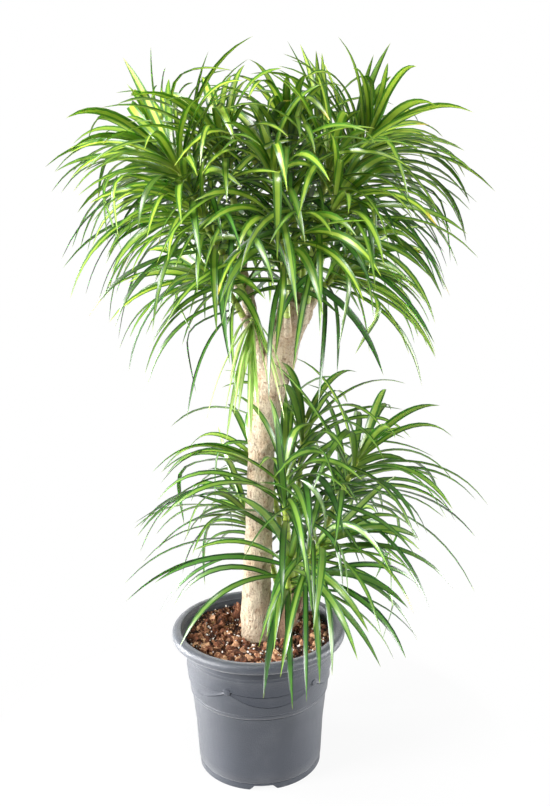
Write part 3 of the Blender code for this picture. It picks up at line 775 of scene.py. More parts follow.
@dataclass
class NurseryPot:
    """The moulded pot: foot with notches, tapered body, collar with draped swags, rolled rim.

    A row of its section is (radius, height), or (radius, height, sag) where it hangs between the ties.
    """

    height: float = 0.244
    wall: float = 0.003
    edge: float = 0.0006
    rim_outer: float = 0.145
    rim_inner: float = 0.1290
    rim_drop: float = 0.0168
    rim_hollow: float = 0.0095
    hollow_ease: float = 0.001
    hollow_flare: float = 0.0008
    rim_round: float = 0.0090
    rim_under: float = 0.0070
    rim_lip: float = 0.0028
    lip_drop: float = 0.0003
    rim_flare: float = 0.022
    round_steps: int = 6
    collar_top: float = 0.1253
    collar_foot: float = 0.1165
    collar_low: float = 0.137
    collar_ease: float = 0.0014
    body_top_radius: float = 0.1140
    body_top: float = 0.131
    body_middle_radius: float = 0.1083
    body_middle: float = 0.078
    body_foot_radius: float = 0.1048
    body_start: float = 0.003
    foot_radius: float = 0.1040
    foot_height: float = 0.010
    foot_shoulder: float = 0.0010
    foot_draft: Pair = (0.001, 0.0004)
    floor_recess: float = 0.009
    pad_radius: float = 0.020
    pad_slope: float = 0.003
    seam_rise: float = 0.0022
    seam_flare: Pair = (0.0004, 0.0008)
    waist_ring: float = 0.1410
    waist_flare: float = 0.0001
    upper_rings: Pair = (0.2035, 0.2095)
    ring_half: float = 0.0008
    ring_proud: float = 0.0003
    swags: int = 5
    swag_turn: float = math.radians(-24.0)
    swag_step: float = 0.0016
    swag_fade: float = 1.3
    sag_fade: float = 0.5
    groove: float = 0.0015
    groove_half: float = 0.0007
    upper_top: float = 0.1835
    upper_sag: float = 0.0065
    upper_reach: float = 0.012
    lower_top: float = 0.1815
    lower_sag: float = 0.0235
    lower_gap: float = 0.001
    hang_from: Pairs = ((0.1500, 0.3), (0.162, 0.8))
    tie_width: float = 0.015
    tie_height: float = 0.0095
    tie_depth: float = 0.0050
    tie_foot: float = 0.52
    tie_nick: float = 0.35
    tie_round: float = 0.8
    tie_bevel: float = 0.0006
    tie_proud: float = 0.0002
    notches: int = 4
    notch_turn: float = math.radians(4.0)
    notch_height: float = 0.0075
    notch_wide: float = 0.046
    notch_narrow: float = 0.031
    drain_radius: float = 0.007
    drain_ring: float = 0.066
    drain_sides: int = 28
    columns: int = 240

    @staticmethod
    def round_axis(radius: float, angle: float, height: float) -> Vector:
        """Return the place at a radius and height, at an angle from the front round the pot."""
        return Vector((radius * math.sin(angle), -radius * math.cos(angle), height))

    @staticmethod
    def tapered(low: tuple, high: tuple, shares: tuple[float, ...]) -> list[tuple]:
        """Return the rows at some shares of the way from one row to another."""
        return [(between((low[0], high[0]), share), between((low[1], high[1]), share)) for share in shares]

    def collar(self, height: float) -> float:
        """Return the collar's plain radius at a height."""
        share = (height - self.collar_low) / (self.height - self.rim_drop - self.collar_low)
        return between((self.collar_foot, self.collar_top), share)

    def on_collar(self, height: float, proud: float = 0.0, sag: float = 0.0) -> tuple[float, float, float]:
        """Return the row at a height on the collar, standing a little proud of it."""
        return self.collar(height) + proud, height, sag

    def sag(self, angle: float, depth: float) -> float:
        """Return how far a drape hangs below its ties at an angle round the pot."""
        across = ((angle - self.swag_turn) * self.swags / FULL_TURN) % 1.0
        return depth * 4.0 * across * (1.0 - across)

    def rounded(self, centre: Pair, radius: float, start: float, stop: float) -> list[tuple]:
        """Draw part of a circle in the section.

        Args:
            centre: Its centre.
            radius: Its radius.
            start: Where it starts, in degrees; 0 is outward and 90 is up.
            stop: Where it stops.

        Returns:
            Its rows.
        """
        rows = []
        for step in range(self.round_steps + 1):
            angle = math.radians(between((start, stop), step / self.round_steps))
            rows.append((centre[0] + radius * math.cos(angle), centre[1] + radius * math.sin(angle)))
        return rows

    def drape_rows(self, top: float, depth: float, above: float) -> list[tuple]:
        """Draw one drape, from the groove under its edge to its upper end.

        Args:
            top: The height of the drape's edge at the ties.
            depth: How far the edge hangs between them.
            above: The height at which the drape starts to stand proud.

        Returns:
            Its rows.
        """
        low = top - 3.0 * self.groove_half
        rows = [self.on_collar(low, 0.0, depth)]
        rows += [(self.collar(low) - 0.8 * self.groove, top - 1.6 * self.groove_half, depth)]
        rows += [(self.collar(top) - self.groove, top - self.groove_half, depth)]
        for share in (0.0, 0.12, 0.3, 0.55, 0.8):
            proud = self.swag_step * (1.0 - share) ** self.swag_fade
            sag = depth * (1.0 - self.sag_fade * share)
            rows.append(self.on_collar(between((top, above), share), proud, sag))
        return rows

    def under_rows(self) -> list[tuple]:
        """Draw the underside.

        Returns:
            Its rows, from the pad in the middle to the foot's inner edge.
        """
        foot = self.foot_radius - self.wall
        rows = [(0.0, 0.0), (self.pad_radius, 0.0), (self.pad_radius + self.pad_slope, self.floor_recess)]
        rows += [(foot - self.foot_draft[0], self.floor_recess)]
        rows += [(foot - self.foot_draft[1], 0.5 * self.floor_recess), (foot, 0.0)]
        return rows

    def body_rows(self) -> list[tuple]:
        """Draw the outside of the foot and the body, up to the seam under the collar.

        Returns:
            Its rows.
        """
        rows = [(self.foot_radius - self.edge, 0.0), (self.foot_radius, self.edge)]
        rows += [(self.foot_radius, 0.5 * self.foot_height), (self.foot_radius, self.foot_height)]
        rows += [(self.foot_radius - self.foot_shoulder, self.foot_height + self.edge)]
        rows += [(self.body_foot_radius - self.foot_shoulder, self.foot_height + 2.0 * self.edge)]
        start = (self.body_foot_radius, self.foot_height + self.body_start)
        middle = (self.body_middle_radius, self.body_middle)
        top = (self.body_top_radius, self.body_top)
        rows += [start, *self.tapered(start, middle, (0.25, 0.5, 0.75)), middle]
        rows += [*self.tapered(middle, top, (0.33, 0.66)), top]
        seam = self.body_top + self.seam_rise
        rows += [(self.body_top_radius + self.seam_flare[0], seam - self.groove_half)]
        rows += [(self.body_top_radius - 0.5 * self.groove, seam)]
        rows += [(self.body_top_radius + self.seam_flare[1], seam + self.groove_half)]
        return rows

    def collar_rows(self) -> list[tuple]:
        """Draw the collar: the ring at its waist, the two drapes and the rings under the rim.

        Returns:
            Its rows.
        """
        rows = [(self.collar_foot - self.edge, self.collar_low - self.collar_ease)]
        rows += [(self.collar_foot, self.collar_low)]
        rows += [self.on_collar(self.waist_ring - self.ring_half, self.waist_flare)]
        rows += [self.on_collar(self.waist_ring, -0.5 * self.groove)]
        rows += [self.on_collar(self.waist_ring + self.ring_half)]
        rows += [self.on_collar(height, 0.0, share * self.lower_sag) for height, share in self.hang_from]
        rows += self.drape_rows(self.lower_top, self.lower_sag, self.upper_top - self.lower_gap)
        rows += self.drape_rows(self.upper_top, self.upper_sag, self.upper_top + self.upper_reach)
        for ring in self.upper_rings:
            rows += [self.on_collar(ring - self.ring_half), self.on_collar(ring, self.ring_proud)]
            rows += [self.on_collar(ring + self.ring_half)]
        return rows

    def rim_rows(self) -> list[tuple]:
        """Draw the rolled rim with its hollow underside, then the inside down to the floor.

        Returns:
            Its rows.
        """
        low = self.height - self.rim_drop
        hollow = low + self.rim_hollow
        rows = [(self.collar_top, low + self.hollow_ease)]
        rows += [(self.collar_top + self.hollow_flare, hollow - self.hollow_ease)]
        rows += [(self.rim_inner + self.rim_lip, hollow), (self.rim_outer - self.wall, hollow)]
        under = (self.rim_outer - self.rim_under, low + self.rim_under)
        rows += self.rounded(under, self.rim_under, -72.0, 0.0)
        crest = (self.rim_outer - self.rim_round, self.height - self.rim_round)
        rows += self.rounded(crest, self.rim_round, 6.0, 90.0)
        lip = (self.rim_inner + self.rim_lip, self.height - self.rim_lip - self.lip_drop)
        rows += self.rounded(lip, self.rim_lip, 90.0, 180.0)
        floor = self.floor_recess + self.wall
        rows += [(self.collar_top - self.wall, self.height - self.rim_flare)]
        rows += [(self.body_top_radius - self.wall, self.body_top)]
        rows += [(self.body_foot_radius - 2.0 * self.wall, floor), (0.0, floor)]
        return rows

    def section(self) -> list[tuple[float, float, float]]:
        """Return the whole section as (radius, height, sag), from the underside's middle to the floor's."""
        rows = self.under_rows() + self.body_rows() + self.collar_rows() + self.rim_rows()
        return [(*row, 0.0)[:3] for row in rows]

    def notch_lift(self, angle: float) -> float:
        """Find the height of the foot's lower edge, raised in the notches.

        Args:
            angle: The angle round the pot.

        Returns:
            The height there.
        """
        span = FULL_TURN / self.notches
        off = (angle - self.notch_turn + 0.5 * span) % span - 0.5 * span
        slant = 0.5 * (self.notch_wide - self.notch_narrow)
        return self.notch_height * held((0.5 * self.notch_wide - abs(off) * self.foot_radius) / slant)

    def build_shell(self, material: Material) -> Object:
        """Build the shell by turning its section, then hang the drapes and lift the notches.

        Args:
            material: The pot's plastic.

        Returns:
            The shell.
        """
        rows = self.section()
        bm = bmesh.new()
        turned(bm, [(radius, height) for radius, height, _ in rows], self.columns)
        layer = bm.verts.layers.int["row"]
        for vert in bm.verts:
            radius = math.hypot(vert.co.x, vert.co.y)
            angle = math.atan2(vert.co.x, -vert.co.y)
            depth = rows[vert[layer]][2]
            if depth:
                height = vert.co.z - self.sag(angle, depth)
                radius += self.collar(height) - self.collar(vert.co.z)
                vert.co = self.round_axis(radius, angle, height)
            elif vert.co.z < self.notch_height and radius > self.pad_radius + self.wall:
                vert.co.z = max(vert.co.z, self.notch_lift(angle))
        return finished("pot_shell", bm, material, 32.0)

    def drain_cutters(self) -> BMesh:
        """Make the plugs that cut the drain holes.

        Returns:
            All the plugs, one through the floor between each two notches.
        """
        bm = bmesh.new()
        for index in range(self.notches):
            angle = self.notch_turn + FULL_TURN * (index + 0.5) / self.notches
            place = self.round_axis(self.drain_ring, angle, self.floor_recess)
            bmesh.ops.create_cone(
                bm, cap_ends=True, segments=self.drain_sides, radius1=self.drain_radius,
                radius2=self.drain_radius, depth=4.0 * self.wall,
                matrix=Matrix.Translation(place + Vector((0.0, 0.0, 0.5 * self.wall))),
            )
        return bm

    def cut_drains(self, shell: Object) -> None:
        """Cut the drain holes.

        Args:
            shell: The shell, whose floor is cut.
        """
        plugs = finished("drain_plugs", self.drain_cutters(), shell.data.materials[0])
        cut = shell.modifiers.new("drains", "BOOLEAN")
        cut.operation = "DIFFERENCE"
        cut.object = plugs
        evaluated = shell.evaluated_get(bpy.context.evaluated_depsgraph_get())
        shell.data = bpy.data.meshes.new_from_object(evaluated)
        shell.modifiers.clear()
        bpy.data.objects.remove(plugs, do_unlink=True)

    def one_tie(self) -> Mesh:
        """Build one gathered tie, facing the front.

        Returns:
            A block that is narrow below, with a nick in its top and bevelled corners.
        """
        bm = bmesh.new()
        bmesh.ops.create_cube(bm, size=1.0)
        bmesh.ops.subdivide_edges(bm, edges=bm.edges, cuts=3, use_grid_fill=True)
        for vert in bm.verts:
            up, aside = vert.co.z, vert.co.x
            vert.co.x *= self.tie_width * between((self.tie_foot, 1.0), up + 0.5)
            vert.co.z = (up - self.tie_nick * abs(aside) * (1.0 + up)) * self.tie_height
            vert.co.y *= self.tie_depth * (1.0 - self.tie_round * aside * aside)
        corners = [edge for edge in bm.edges if edge.calc_face_angle(0.0) > 1.0]
        bmesh.ops.bevel(
            bm, geom=corners, offset=self.tie_bevel, segments=2, profile=0.5, affect="EDGES", material=-1
        )
        return plain_mesh("tie", bm)

    def build_ties(self, material: Material) -> Object:
        """Build the small gathered ties where the drapes meet, sunk in the wall.

        Args:
            material: The pot's plastic.

        Returns:
            All the ties as one piece.
        """
        tie = self.one_tie()
        bm = bmesh.new()
        middle = 0.5 * (self.lower_top + self.upper_top)
        reach = self.collar(middle) + self.tie_proud
        for index in range(self.swags):
            angle = self.swag_turn + FULL_TURN * index / self.swags
            place = Matrix.Translation(self.round_axis(reach, angle, middle))
            bmesh.ops.transform(bm, verts=stamped(bm, tie), matrix=place @ Matrix.Rotation(angle, 4, "Z"))
        return finished("pot_ties", bm, material)

    def build(self) -> None:
        """Build and dress the pot."""
        material = PotPlastic().build()
        shell = self.build_shell(material)
        self.cut_drains(shell)
        ride_root(shell, "pot_plastic", "pot")
        ride_root(self.build_ties(material), "pot_plastic", "pot")


@dataclass(frozen=True)
class Lumps:
    """One kind of lump on the soil: how many, their least and greatest radius, and how they are cut."""

    name: str
    count: int
    sizes: Pair
    detail: int
    stretch: Pairs
    lift: Pair
    finish: CrumbFinish | PerliteFinish


@dataclass
class PottingSoil:
    """The soil node's finish, with crumbs and chips of bark and grains of perlite lying on it."""

    crumbs: Lumps = Lumps(
        "soil_crumbs", 3600, (0.0008, 0.0023), 1, ((0.8, 1.4), (0.7, 1.1), (0.6, 0.9)), (0.0, 0.8),
        CrumbFinish("soil_crumb_finish", srgb(22, 13, 10), srgb(72, 42, 30), srgb(158, 112, 82)),
    )
    chips: Lumps = Lumps(
        "soil_chips", 620, (0.0026, 0.0092), 2, ((0.8, 1.5), (0.6, 1.0), (0.45, 0.8)), (-0.35, 0.35),
        CrumbFinish("soil_chip_finish", srgb(34, 19, 14), srgb(122, 72, 46), srgb(216, 170, 130)),
    )
    grains: Lumps = Lumps(
        "perlite_grains", 460, (0.0006, 0.0020), 1, ((0.9, 1.2), (0.8, 1.1), (0.7, 1.0)), (1.2, 3.0),
        PerliteFinish(),
    )
    reach: float = 0.1205
    canes: tuple = (((-0.005, 0.012), 0.0262), ((0.044, 0.012), 0.0150))
    cane_gap: float = 0.6
    ray_height: float = 0.4
    small_bias: float = 2.0
    dark_bias: float = 1.3
    spin_most: float = 6.28
    bulges: Pairs = ((0.75, 1.6), (0.40, 4.3))
    bulge_shift: float = 50.0
    seed: int = 5

    def spot(self, lumps: Lumps, bed: BVHTree, draw: random.Random) -> tuple[Vector | None, float]:
        """Draw a place on the soil and the size of the lump that lies there.

        Args:
            lumps: The kind of lump.
            bed: The soil's surface.
            draw: The source of random numbers.

        Returns:
            The place, or None where a lump would touch the pot or a cane, and the size.
        """
        radius = self.reach * math.sqrt(draw.random())
        turn = draw.uniform(0.0, FULL_TURN)
        x, y = radius * math.cos(turn), radius * math.sin(turn)
        size = between(lumps.sizes, draw.random() ** self.small_bias)
        gap = self.cane_gap * size
        near_cane = any(math.dist((x, y), centre) < cane + gap for centre, cane in self.canes)
        if radius + size > self.reach or near_cane:
            return None, size
        return bed.ray_cast(Vector((x, y, self.ray_height)), DOWN)[0], size

    def shaped(
        self, verts: list[BMVert], lumps: Lumps, ground: Vector, size: float, draw: random.Random
    ) -> float:
        """Turn a plain ball into one uneven lump on the ground.

        Args:
            verts: The ball's vertices, which are moved.
            lumps: The kind of lump.
            ground: Where it lies.
            size: How large it is.
            draw: The source of random numbers.

        Returns:
            The lump's tone, 0 to 1.
        """
        spin = Euler([draw.uniform(0.0, self.spin_most) for _ in range(3)]).to_matrix()
        stretch = Vector([draw.uniform(*pair) for pair in lumps.stretch])
        shift = Vector([draw.uniform(-self.bulge_shift, self.bulge_shift) for _ in range(3)])
        tone = draw.random() ** self.dark_bias
        rise = Vector((0.0, 0.0, draw.uniform(*lumps.lift) * size))
        for vert in verts:
            out = sum(share * noise.noise(vert.co * scale + shift) for share, scale in self.bulges)
            shape = Vector([a * b for a, b in zip(vert.co, stretch)]) * ((1.0 + out) * size)
            vert.co = ground + spin @ shape + rise
        return tone

    def heap(self, lumps: Lumps, draw: random.Random) -> Object:
        """Scatter lumps of one kind over the soil.

        Args:
            lumps: The kind of lump.
            draw: The source of random numbers.

        Returns:
            All of them as one piece.
        """
        bed = BVHTree.FromObject(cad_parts["soil"], bpy.context.evaluated_depsgraph_get())
        ball = bmesh.new()
        bmesh.ops.create_icosphere(ball, subdivisions=lumps.detail, radius=1.0)
        plain = plain_mesh("lump", ball)
        bm = bmesh.new()
        tone_layer = bm.verts.layers.float.new("tone")
        placed = 0
        while placed < lumps.count:
            ground, size = self.spot(lumps, bed, draw)
            if ground is None:
                continue
            verts = stamped(bm, plain)
            tone = self.shaped(verts, lumps, ground, size, draw)
            for vert in verts:
                vert[tone_layer] = tone
            placed += 1
        return finished(lumps.name, bm, lumps.finish.build(), 38.0)

    def build(self) -> None:
        """Dress the soil node and scatter what lies on it."""
        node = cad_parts["soil"]
        node.data.materials.clear()
        node.data.materials.append(SoilFinish().build())
        draw = random.Random(self.seed)
        for lumps in (self.crumbs, self.chips, self.grains):
            ride_root(self.heap(lumps, draw), "potting_soil")


def flowing(points: Iterable[tuple[float, ...]], step: float) -> list[Vector]:
    """Read a smooth curve through rows of (x, y, z, radius).

    Args:
        points: The rows that the curve passes through.
        step: About how far apart the new rows are.

    Returns:
        The new rows, as vectors of four numbers.
    """
    rows = [Vector(point) for point in points]
    result = []
    for index, (a, b) in enumerate(zip(rows, rows[1:])):
        before, after = rows[max(index - 1, 0)], rows[min(index + 2, len(rows) - 1)]
        count = max(round((b - a).xyz.length / step), 1)
        for k in range(count):
            t = k / count
            bend = (2.0 * before - 5.0 * a + 4.0 * b - after) * t ** 2
            bend += (3.0 * a - before - 3.0 * b + after) * t ** 3
            result.append(0.5 * (2.0 * a + (b - before) * t + bend))
    result.append(rows[-1])
    return result


@dataclass(frozen=True)
class Knot:
    """A scar or slit in the bark: where it is, how tall, wide and deep, and its rim.

    The rim's place and half width, the pit's and the reach are in shares of the knot's own size.
    """

    height: float
    turn: float
    tall: float
    wide: float
    depth: float
    rim: float = 0.0008
    rim_off: float = 1.15
    rim_half: float = 0.42
    pit_half: float = 0.72
    reach: float = 2.6

    def at(self, aside: float, height: float) -> Pair:
        """Find the knot's effect at a place on the bark.

        Args:
            aside: How far beside the knot the place is, along the bark.
            height: The place's height.

        Returns:
            How far the bark stands out there, and how worn it is.
        """
        off = math.hypot(aside / self.wide, (height - self.height) / self.tall)
        if off >= self.reach:
            return 0.0, 0.0
        ridge = self.rim * math.exp(-((off - self.rim_off) / self.rim_half) ** 2)
        return ridge - self.depth * math.exp(-(off / self.pit_half) ** 4), math.exp(-off ** 4)


@dataclass
class WoodyStem:
    """A bare cane: its line and radius, its bark's relief, its knots and its sawn top."""

    name: str
    points: tuple
    knots: tuple[Knot, ...] = ()
    sides: int = 64
    step: float = 0.0026
    relief: float = 0.0024
    waves: Pair = (28.0, 75.0)
    fine_share: float = 0.6
    grain: Pairs = ((0.00042, 260.0), (0.00022, 620.0))
    grain_stretch: float = 0.30
    bark_start: float = 0.224
    bark_rise: float = 0.012
    foot_wear: float = 0.018
    foot_wear_most: float = 0.40
    top_wear: float = 0.6
    top_insets: Pairs = ((0.0012, 0.0010), (0.0030, 0.0003), (0.0060, -0.0004))
    crown_wear: float = 0.0
    crown_wear_start: float = 0.60
    crown_wear_rise: float = 0.12
    worn_relief: float = 0.0016
    worn_scale: float = 330.0
    worn_stretch: float = 0.15
    collar_radius: float = 0.025

    def swell(self, place: Vector, angle: float) -> Pair:
        """Return how far the bark stands out of the plain tube, and how worn it is, at a place.

        Args:
            place: The place on the plain tube.
            angle: The angle round the stem, 0 at the front, positive to the right.

        Returns:
            The height in metres and the wear from 0 to 1.
        """
        start = held((place.z - self.bark_start) / self.bark_rise)
        broad, fine = self.waves
        rough = noise.noise(place * broad) + self.fine_share * noise.noise(place * fine)
        out = self.relief * rough * start
        drawn_out = Vector((place.x, place.y, place.z * self.grain_stretch))
        for depth, scale in self.grain:
            out += depth * noise.noise(drawn_out * scale) * start
        wear = self.foot_wear_most * max(0.0, 1.0 - (place.z - self.bark_start) / self.foot_wear)
        wear = max(wear, self.crown_wear * held((place.z - self.crown_wear_start) / self.crown_wear_rise))
        split = Vector((place.x, place.y, place.z * self.worn_stretch))
        out += self.worn_relief * wear * noise.noise(split * self.worn_scale)
        for knot in self.knots:
            aside = (angle - knot.turn + math.pi) % FULL_TURN - math.pi
            rise, worn = knot.at(aside * self.collar_radius, place.z)
            out += rise
            wear = max(wear, worn)
        return out, wear

    def build(self, material: Material) -> Object:
        """Build the stem as one closed tube with a sawn top.

        Args:
            material: Its bark.

        Returns:
            The stem.
        """
        rows = flowing(self.points, self.step)
        bm = bmesh.new()
        layer = bm.verts.layers.float.new("wear")
        radii = [row.w for row in rows]
        line = through([row.xyz for row in rows])
        rings = drawn_tube(bm, line, lambda number, centre, outward: radii[number], self.sides)
        for row, ring in zip(rows, rings):
            for vert in ring:
                outward = (vert.co - row.xyz).normalized()
                angle = math.atan2(outward.x, -outward.y)
                out, wear = self.swell(row.xyz + outward * self.collar_radius, angle)
                vert.co += outward * out
                vert[layer] = wear
        top = next(face for face in rings[-1][0].link_faces if len(face.verts) == self.sides)
        for thickness, depth in self.top_insets:
            bmesh.ops.inset_region(bm, faces=[top], thickness=thickness, depth=depth, use_even_offset=False)
        for vert in top.verts:
            vert[layer] = self.top_wear
        bmesh.ops.poke(bm, faces=[top])
        return finished(self.name, bm, material, 55.0)


class Shoot:
    """The curved line of a leafy head, from inside the wood to the bud at its apex.

    A head that hangs holds its blades closer together.
    """

    STEPS = 40
    RISE = 0.35
    HANDLE = 0.40
    STUB_REACH = 0.034
    STEM_CLEAR = 0.012
    LEAFY_REACH = 0.110
    HANGING_GATHER = 0.30

    def __init__(self, origin: Place, apex: Place, lean: Place) -> None:
        """Draw the line.

        Args:
            origin: Where it starts, in the wood.
            apex: Where it ends.
            lean: The way that it points there.
        """
        origin, apex = Vector(origin), Vector(apex)
        lean = Vector(lean).normalized()
        start = ((apex - origin).normalized() - DOWN * self.RISE).normalized()
        handle = self.HANDLE * (apex - origin).length
        handles = (origin, origin + start * handle, apex - lean * handle, apex)
        self.points = [self.bezier(handles, step / self.STEPS) for step in range(self.STEPS + 1)]
        self.lengths = [0.0]
        for before, after in zip(self.points, self.points[1:]):
            self.lengths.append(self.lengths[-1] + (after - before).length)
        self.length = self.lengths[-1]
        self.leafy = min(self.LEAFY_REACH, self.length - self.STUB_REACH - self.STEM_CLEAR)
        self.gather = self.HANGING_GATHER if lean.z < 0.0 else 1.0

    @staticmethod
    def bezier(handles: tuple[Vector, Vector, Vector, Vector], t: float) -> Vector:
        """Find a point on a cubic curve.

        Args:
            handles: The curve's four handles.
            t: How far along it the point is, 0 to 1.

        Returns:
            The point.
        """
        a, b, c, d = handles
        s = 1.0 - t
        return a * s ** 3 + b * (3.0 * s * s * t) + c * (3.0 * s * t * t) + d * t ** 3

    def at(self, distance: float) -> tuple[Vector, Vector]:
        """Find a place on the line.

        Args:
            distance: How far along the line it is.

        Returns:
            The point and the direction there.
        """
        distance = min(max(distance, 0.0), self.length)
        index = 0
        while index < self.STEPS - 1 and self.lengths[index + 1] < distance:
            index += 1
        before, after = self.points[index], self.points[index + 1]
        share = (distance - self.lengths[index]) / (self.lengths[index + 1] - self.lengths[index])
        return before.lerp(after, share), (after - before).normalized()


@dataclass
class Blade:
    """One strap leaf: where it leaves the stem, which way, and how it bends."""

    root: Vector
    direction: Vector
    axis: Vector
    length: float
    width: float
    droop: float
    curl: float
    fold: Pair | None
    twist: float
    age: float
    luck: float = 0.5
    wilt: float = 0.0
    roll: float = 0.0

    STEPS = 24
    STATIONS = (0, 1, 2, 3, 5, 7, 9, 11, 13, 15, 17, 19, 21, 23)
    COARSE = (0, 4, 9, 14, 19)
    FOLD_SPAN = 0.14
    SINK_ROOT = 0.25
    SINK_RISE = 1.5
    ROOT_SHARE = 0.60
    FULL = 0.40
    TAPER = 0.45
    TIP_POWER = 2.5
    CHANNEL = 0.15
    CLASP = 0.24
    CLASP_REACH = 0.07
    THICK = (0.0011, 0.0004)
    ROLL_IN = 1.6
    EASING = 4

    def spine(self) -> list[Row]:
        """Bend the blade: it curls back and sinks under its weight.

        Returns:
            (point, direction, face) at each step.
        """
        along = self.direction.normalized()
        face = (self.axis - along * self.axis.dot(along)).normalized()
        point = self.root.copy()
        step = self.length / self.STEPS
        rows = [(point.copy(), along.copy(), face.copy())]
        for index in range(self.STEPS):
            t = (index + 0.5) / self.STEPS
            bend = self.curl / self.STEPS
            if self.fold and abs(t - self.fold[0]) < 0.5 * self.FOLD_SPAN:
                bend += self.fold[1] / (self.FOLD_SPAN * self.STEPS)
            sink = self.droop * (self.SINK_ROOT + self.SINK_RISE * t) / self.STEPS
            along = (along - face * bend + DOWN * sink).normalized()
            side = along.cross(face)
            face = (face + side * (self.twist / self.STEPS)).normalized()
            face = (face - along * face.dot(along)).normalized()
            point = point + along * step
            rows.append((point.copy(), along.copy(), face.copy()))
        return rows

    def eased(self) -> list[Row]:
        """Round the spine's bends and keep its ends.

        Returns:
            The rows of the rounded spine.
        """
        rows = self.spine()
        points = [row[0] for row in rows]
        for _ in range(self.EASING):
            inner = [0.25 * a + 0.5 * b + 0.25 * c for a, b, c in zip(points, points[1:], points[2:])]
            points = [points[0], *inner, points[-1]]
        result = []
        for (point, along), (_, _, face) in zip(through(points), rows):
            result.append((point, along, (face - along * face.dot(along)).normalized()))
        return result

    def width_at(self, t: float) -> float:
        """Find the width along the blade: a clasping foot, widest before the middle, a long tip.

        Args:
            t: How far along the blade it is, 0 to 1.

        Returns:
            The width there.
        """
        rise = between((self.ROOT_SHARE, 1.0), math.sin(0.5 * math.pi * min(t / self.FULL, 1.0)))
        fall = 1.0 - (max(t - self.TAPER, 0.0) / (1.0 - self.TAPER)) ** self.TIP_POWER
        return self.width * rise * fall

    def section(self, row: Row, t: float) -> tuple[Vector, Vector, Vector, Vector]:
        """Place the channelled section at a step.

        Args:
            row: The spine's row there.
            t: How far along the blade it is, 0 to 1.

        Returns:
            The section's left edge, channel, right edge and keel.
        """
        point, along, face = row
        width = self.width_at(t)
        turn = self.roll * min(self.ROLL_IN * t, 1.0)
        face = face * math.cos(turn) - along.cross(face) * math.sin(turn)
        side = along.cross(face)
        cup = width * (self.CHANNEL + self.CLASP * math.exp(-t / self.CLASP_REACH))
        half = 0.5 * math.sqrt(max(width * width - cup * cup, 0.25 * width * width))
        keel = point - face * (cup + between(self.THICK, t))
        return point - side * half, point - face * cup, point + side * half, keel

    def fine(self) -> list[Vector]:
        """Place the fine blade's points.

        Returns:
            The points, ring after ring, and the tip last.
        """
        rows = self.eased()
        places = []
        for station in self.STATIONS:
            places.extend(self.section(rows[station], station / self.STEPS))
        places.append(rows[-1][0])
        return places

    def coarse(self, first: int) -> tuple[BVHTree, list[Vector]]:
        """Make a plain copy of the blade.

        Args:
            first: Which of its stations the copy starts at.

        Returns:
            A search tree of the copy, and its points.
        """
        rows = self.eased()
        places, faces = [], []
        for station in self.COARSE[first:]:
            left, _, right, keel = self.section(rows[station], station / self.STEPS)
            places.extend((left, right, keel))
        places.append(rows[-1][0])
        for base in range(0, len(places) - 4, 3):
            for k in range(3):
                after = (k + 1) % 3
                faces.append((base + k, base + after, base + 3 + after))
                faces.append((base + k, base + 3 + after, base + 3 + k))
        last = len(places) - 4
        faces.extend((last + k, last + (k + 1) % 3, last + 3) for k in range(3))
        return BVHTree.FromPolygons(places, faces), places


class Thicket:
    """What more blades must stay clear of: canes, stems and the blades laid so far."""

    CLEARING = "clearing"

    def __init__(self, low: Vector, high: Vector) -> None:
        """Start with nothing in the way, between the lowest and highest corners that blades stay in."""
        self.low, self.high = low, high
        self.things: list[tuple[str, BVHTree, Vector, Vector]] = []

    @staticmethod
    def box_of(places: list[Vector]) -> tuple[Vector, Vector]:
        """Find the box of some points.

        Args:
            places: The points.

        Returns:
            The box's lowest and highest corners.
        """
        low = Vector([min(place[k] for place in places) for k in range(3)])
        high = Vector([max(place[k] for place in places) for k in range(3)])
        return low, high

    def add(self, owner: str, tree: BVHTree, places: list[Vector]) -> None:
        """Keep one thing, with the head that it belongs to."""
        self.things.append((owner, tree, *self.box_of(places)))

    def add_faces(self, owner: str, places: list[Vector], faces: list[tuple[int, ...]]) -> None:
        """Keep one thing that is given as points and faces."""
        self.add(owner, BVHTree.FromPolygons(places, faces), places)

    def is_free(self, owner: str, blade: Blade, may_cross: bool) -> bool:
        """Tell whether a blade clears everything and stays in the object's box.

        Args:
            owner: The head that the blade belongs to.
            blade: The blade.
            may_cross: Whether it may pass in front of the bare cane.

        Returns:
            Whether it is free; near its own stem only its outer part counts.
        """
        whole, places = blade.coarse(0)
        low, high = self.box_of(places)
        if any(low[k] < self.low[k] or high[k] > self.high[k] for k in range(3)):
            return False
        outer = blade.coarse(1)[0]
        for other, tree, start, stop in self.things:
            apart = any(low[k] > stop[k] or start[k] > high[k] for k in range(3))
            if apart or (may_cross and other == self.CLEARING):
                continue
            if (outer if other == owner else whole).overlap(tree):
                return False
        return True


class Tier(Enum):
    """The two tiers of leafy heads."""

    CROWN = "crown"
    LOWER = "lower"


@dataclass
class Head:
    """One leafy head: its tier, its shoot, how many blades the solid has, and how long they are."""

    name: str
    tier: Tier
    number: int
    shoot: Shoot
    count: int
    length: float

    @property
    def hangs(self) -> bool:
        """Tell whether the head hangs, with its blades held close together."""
        return self.shoot.gather < 1.0


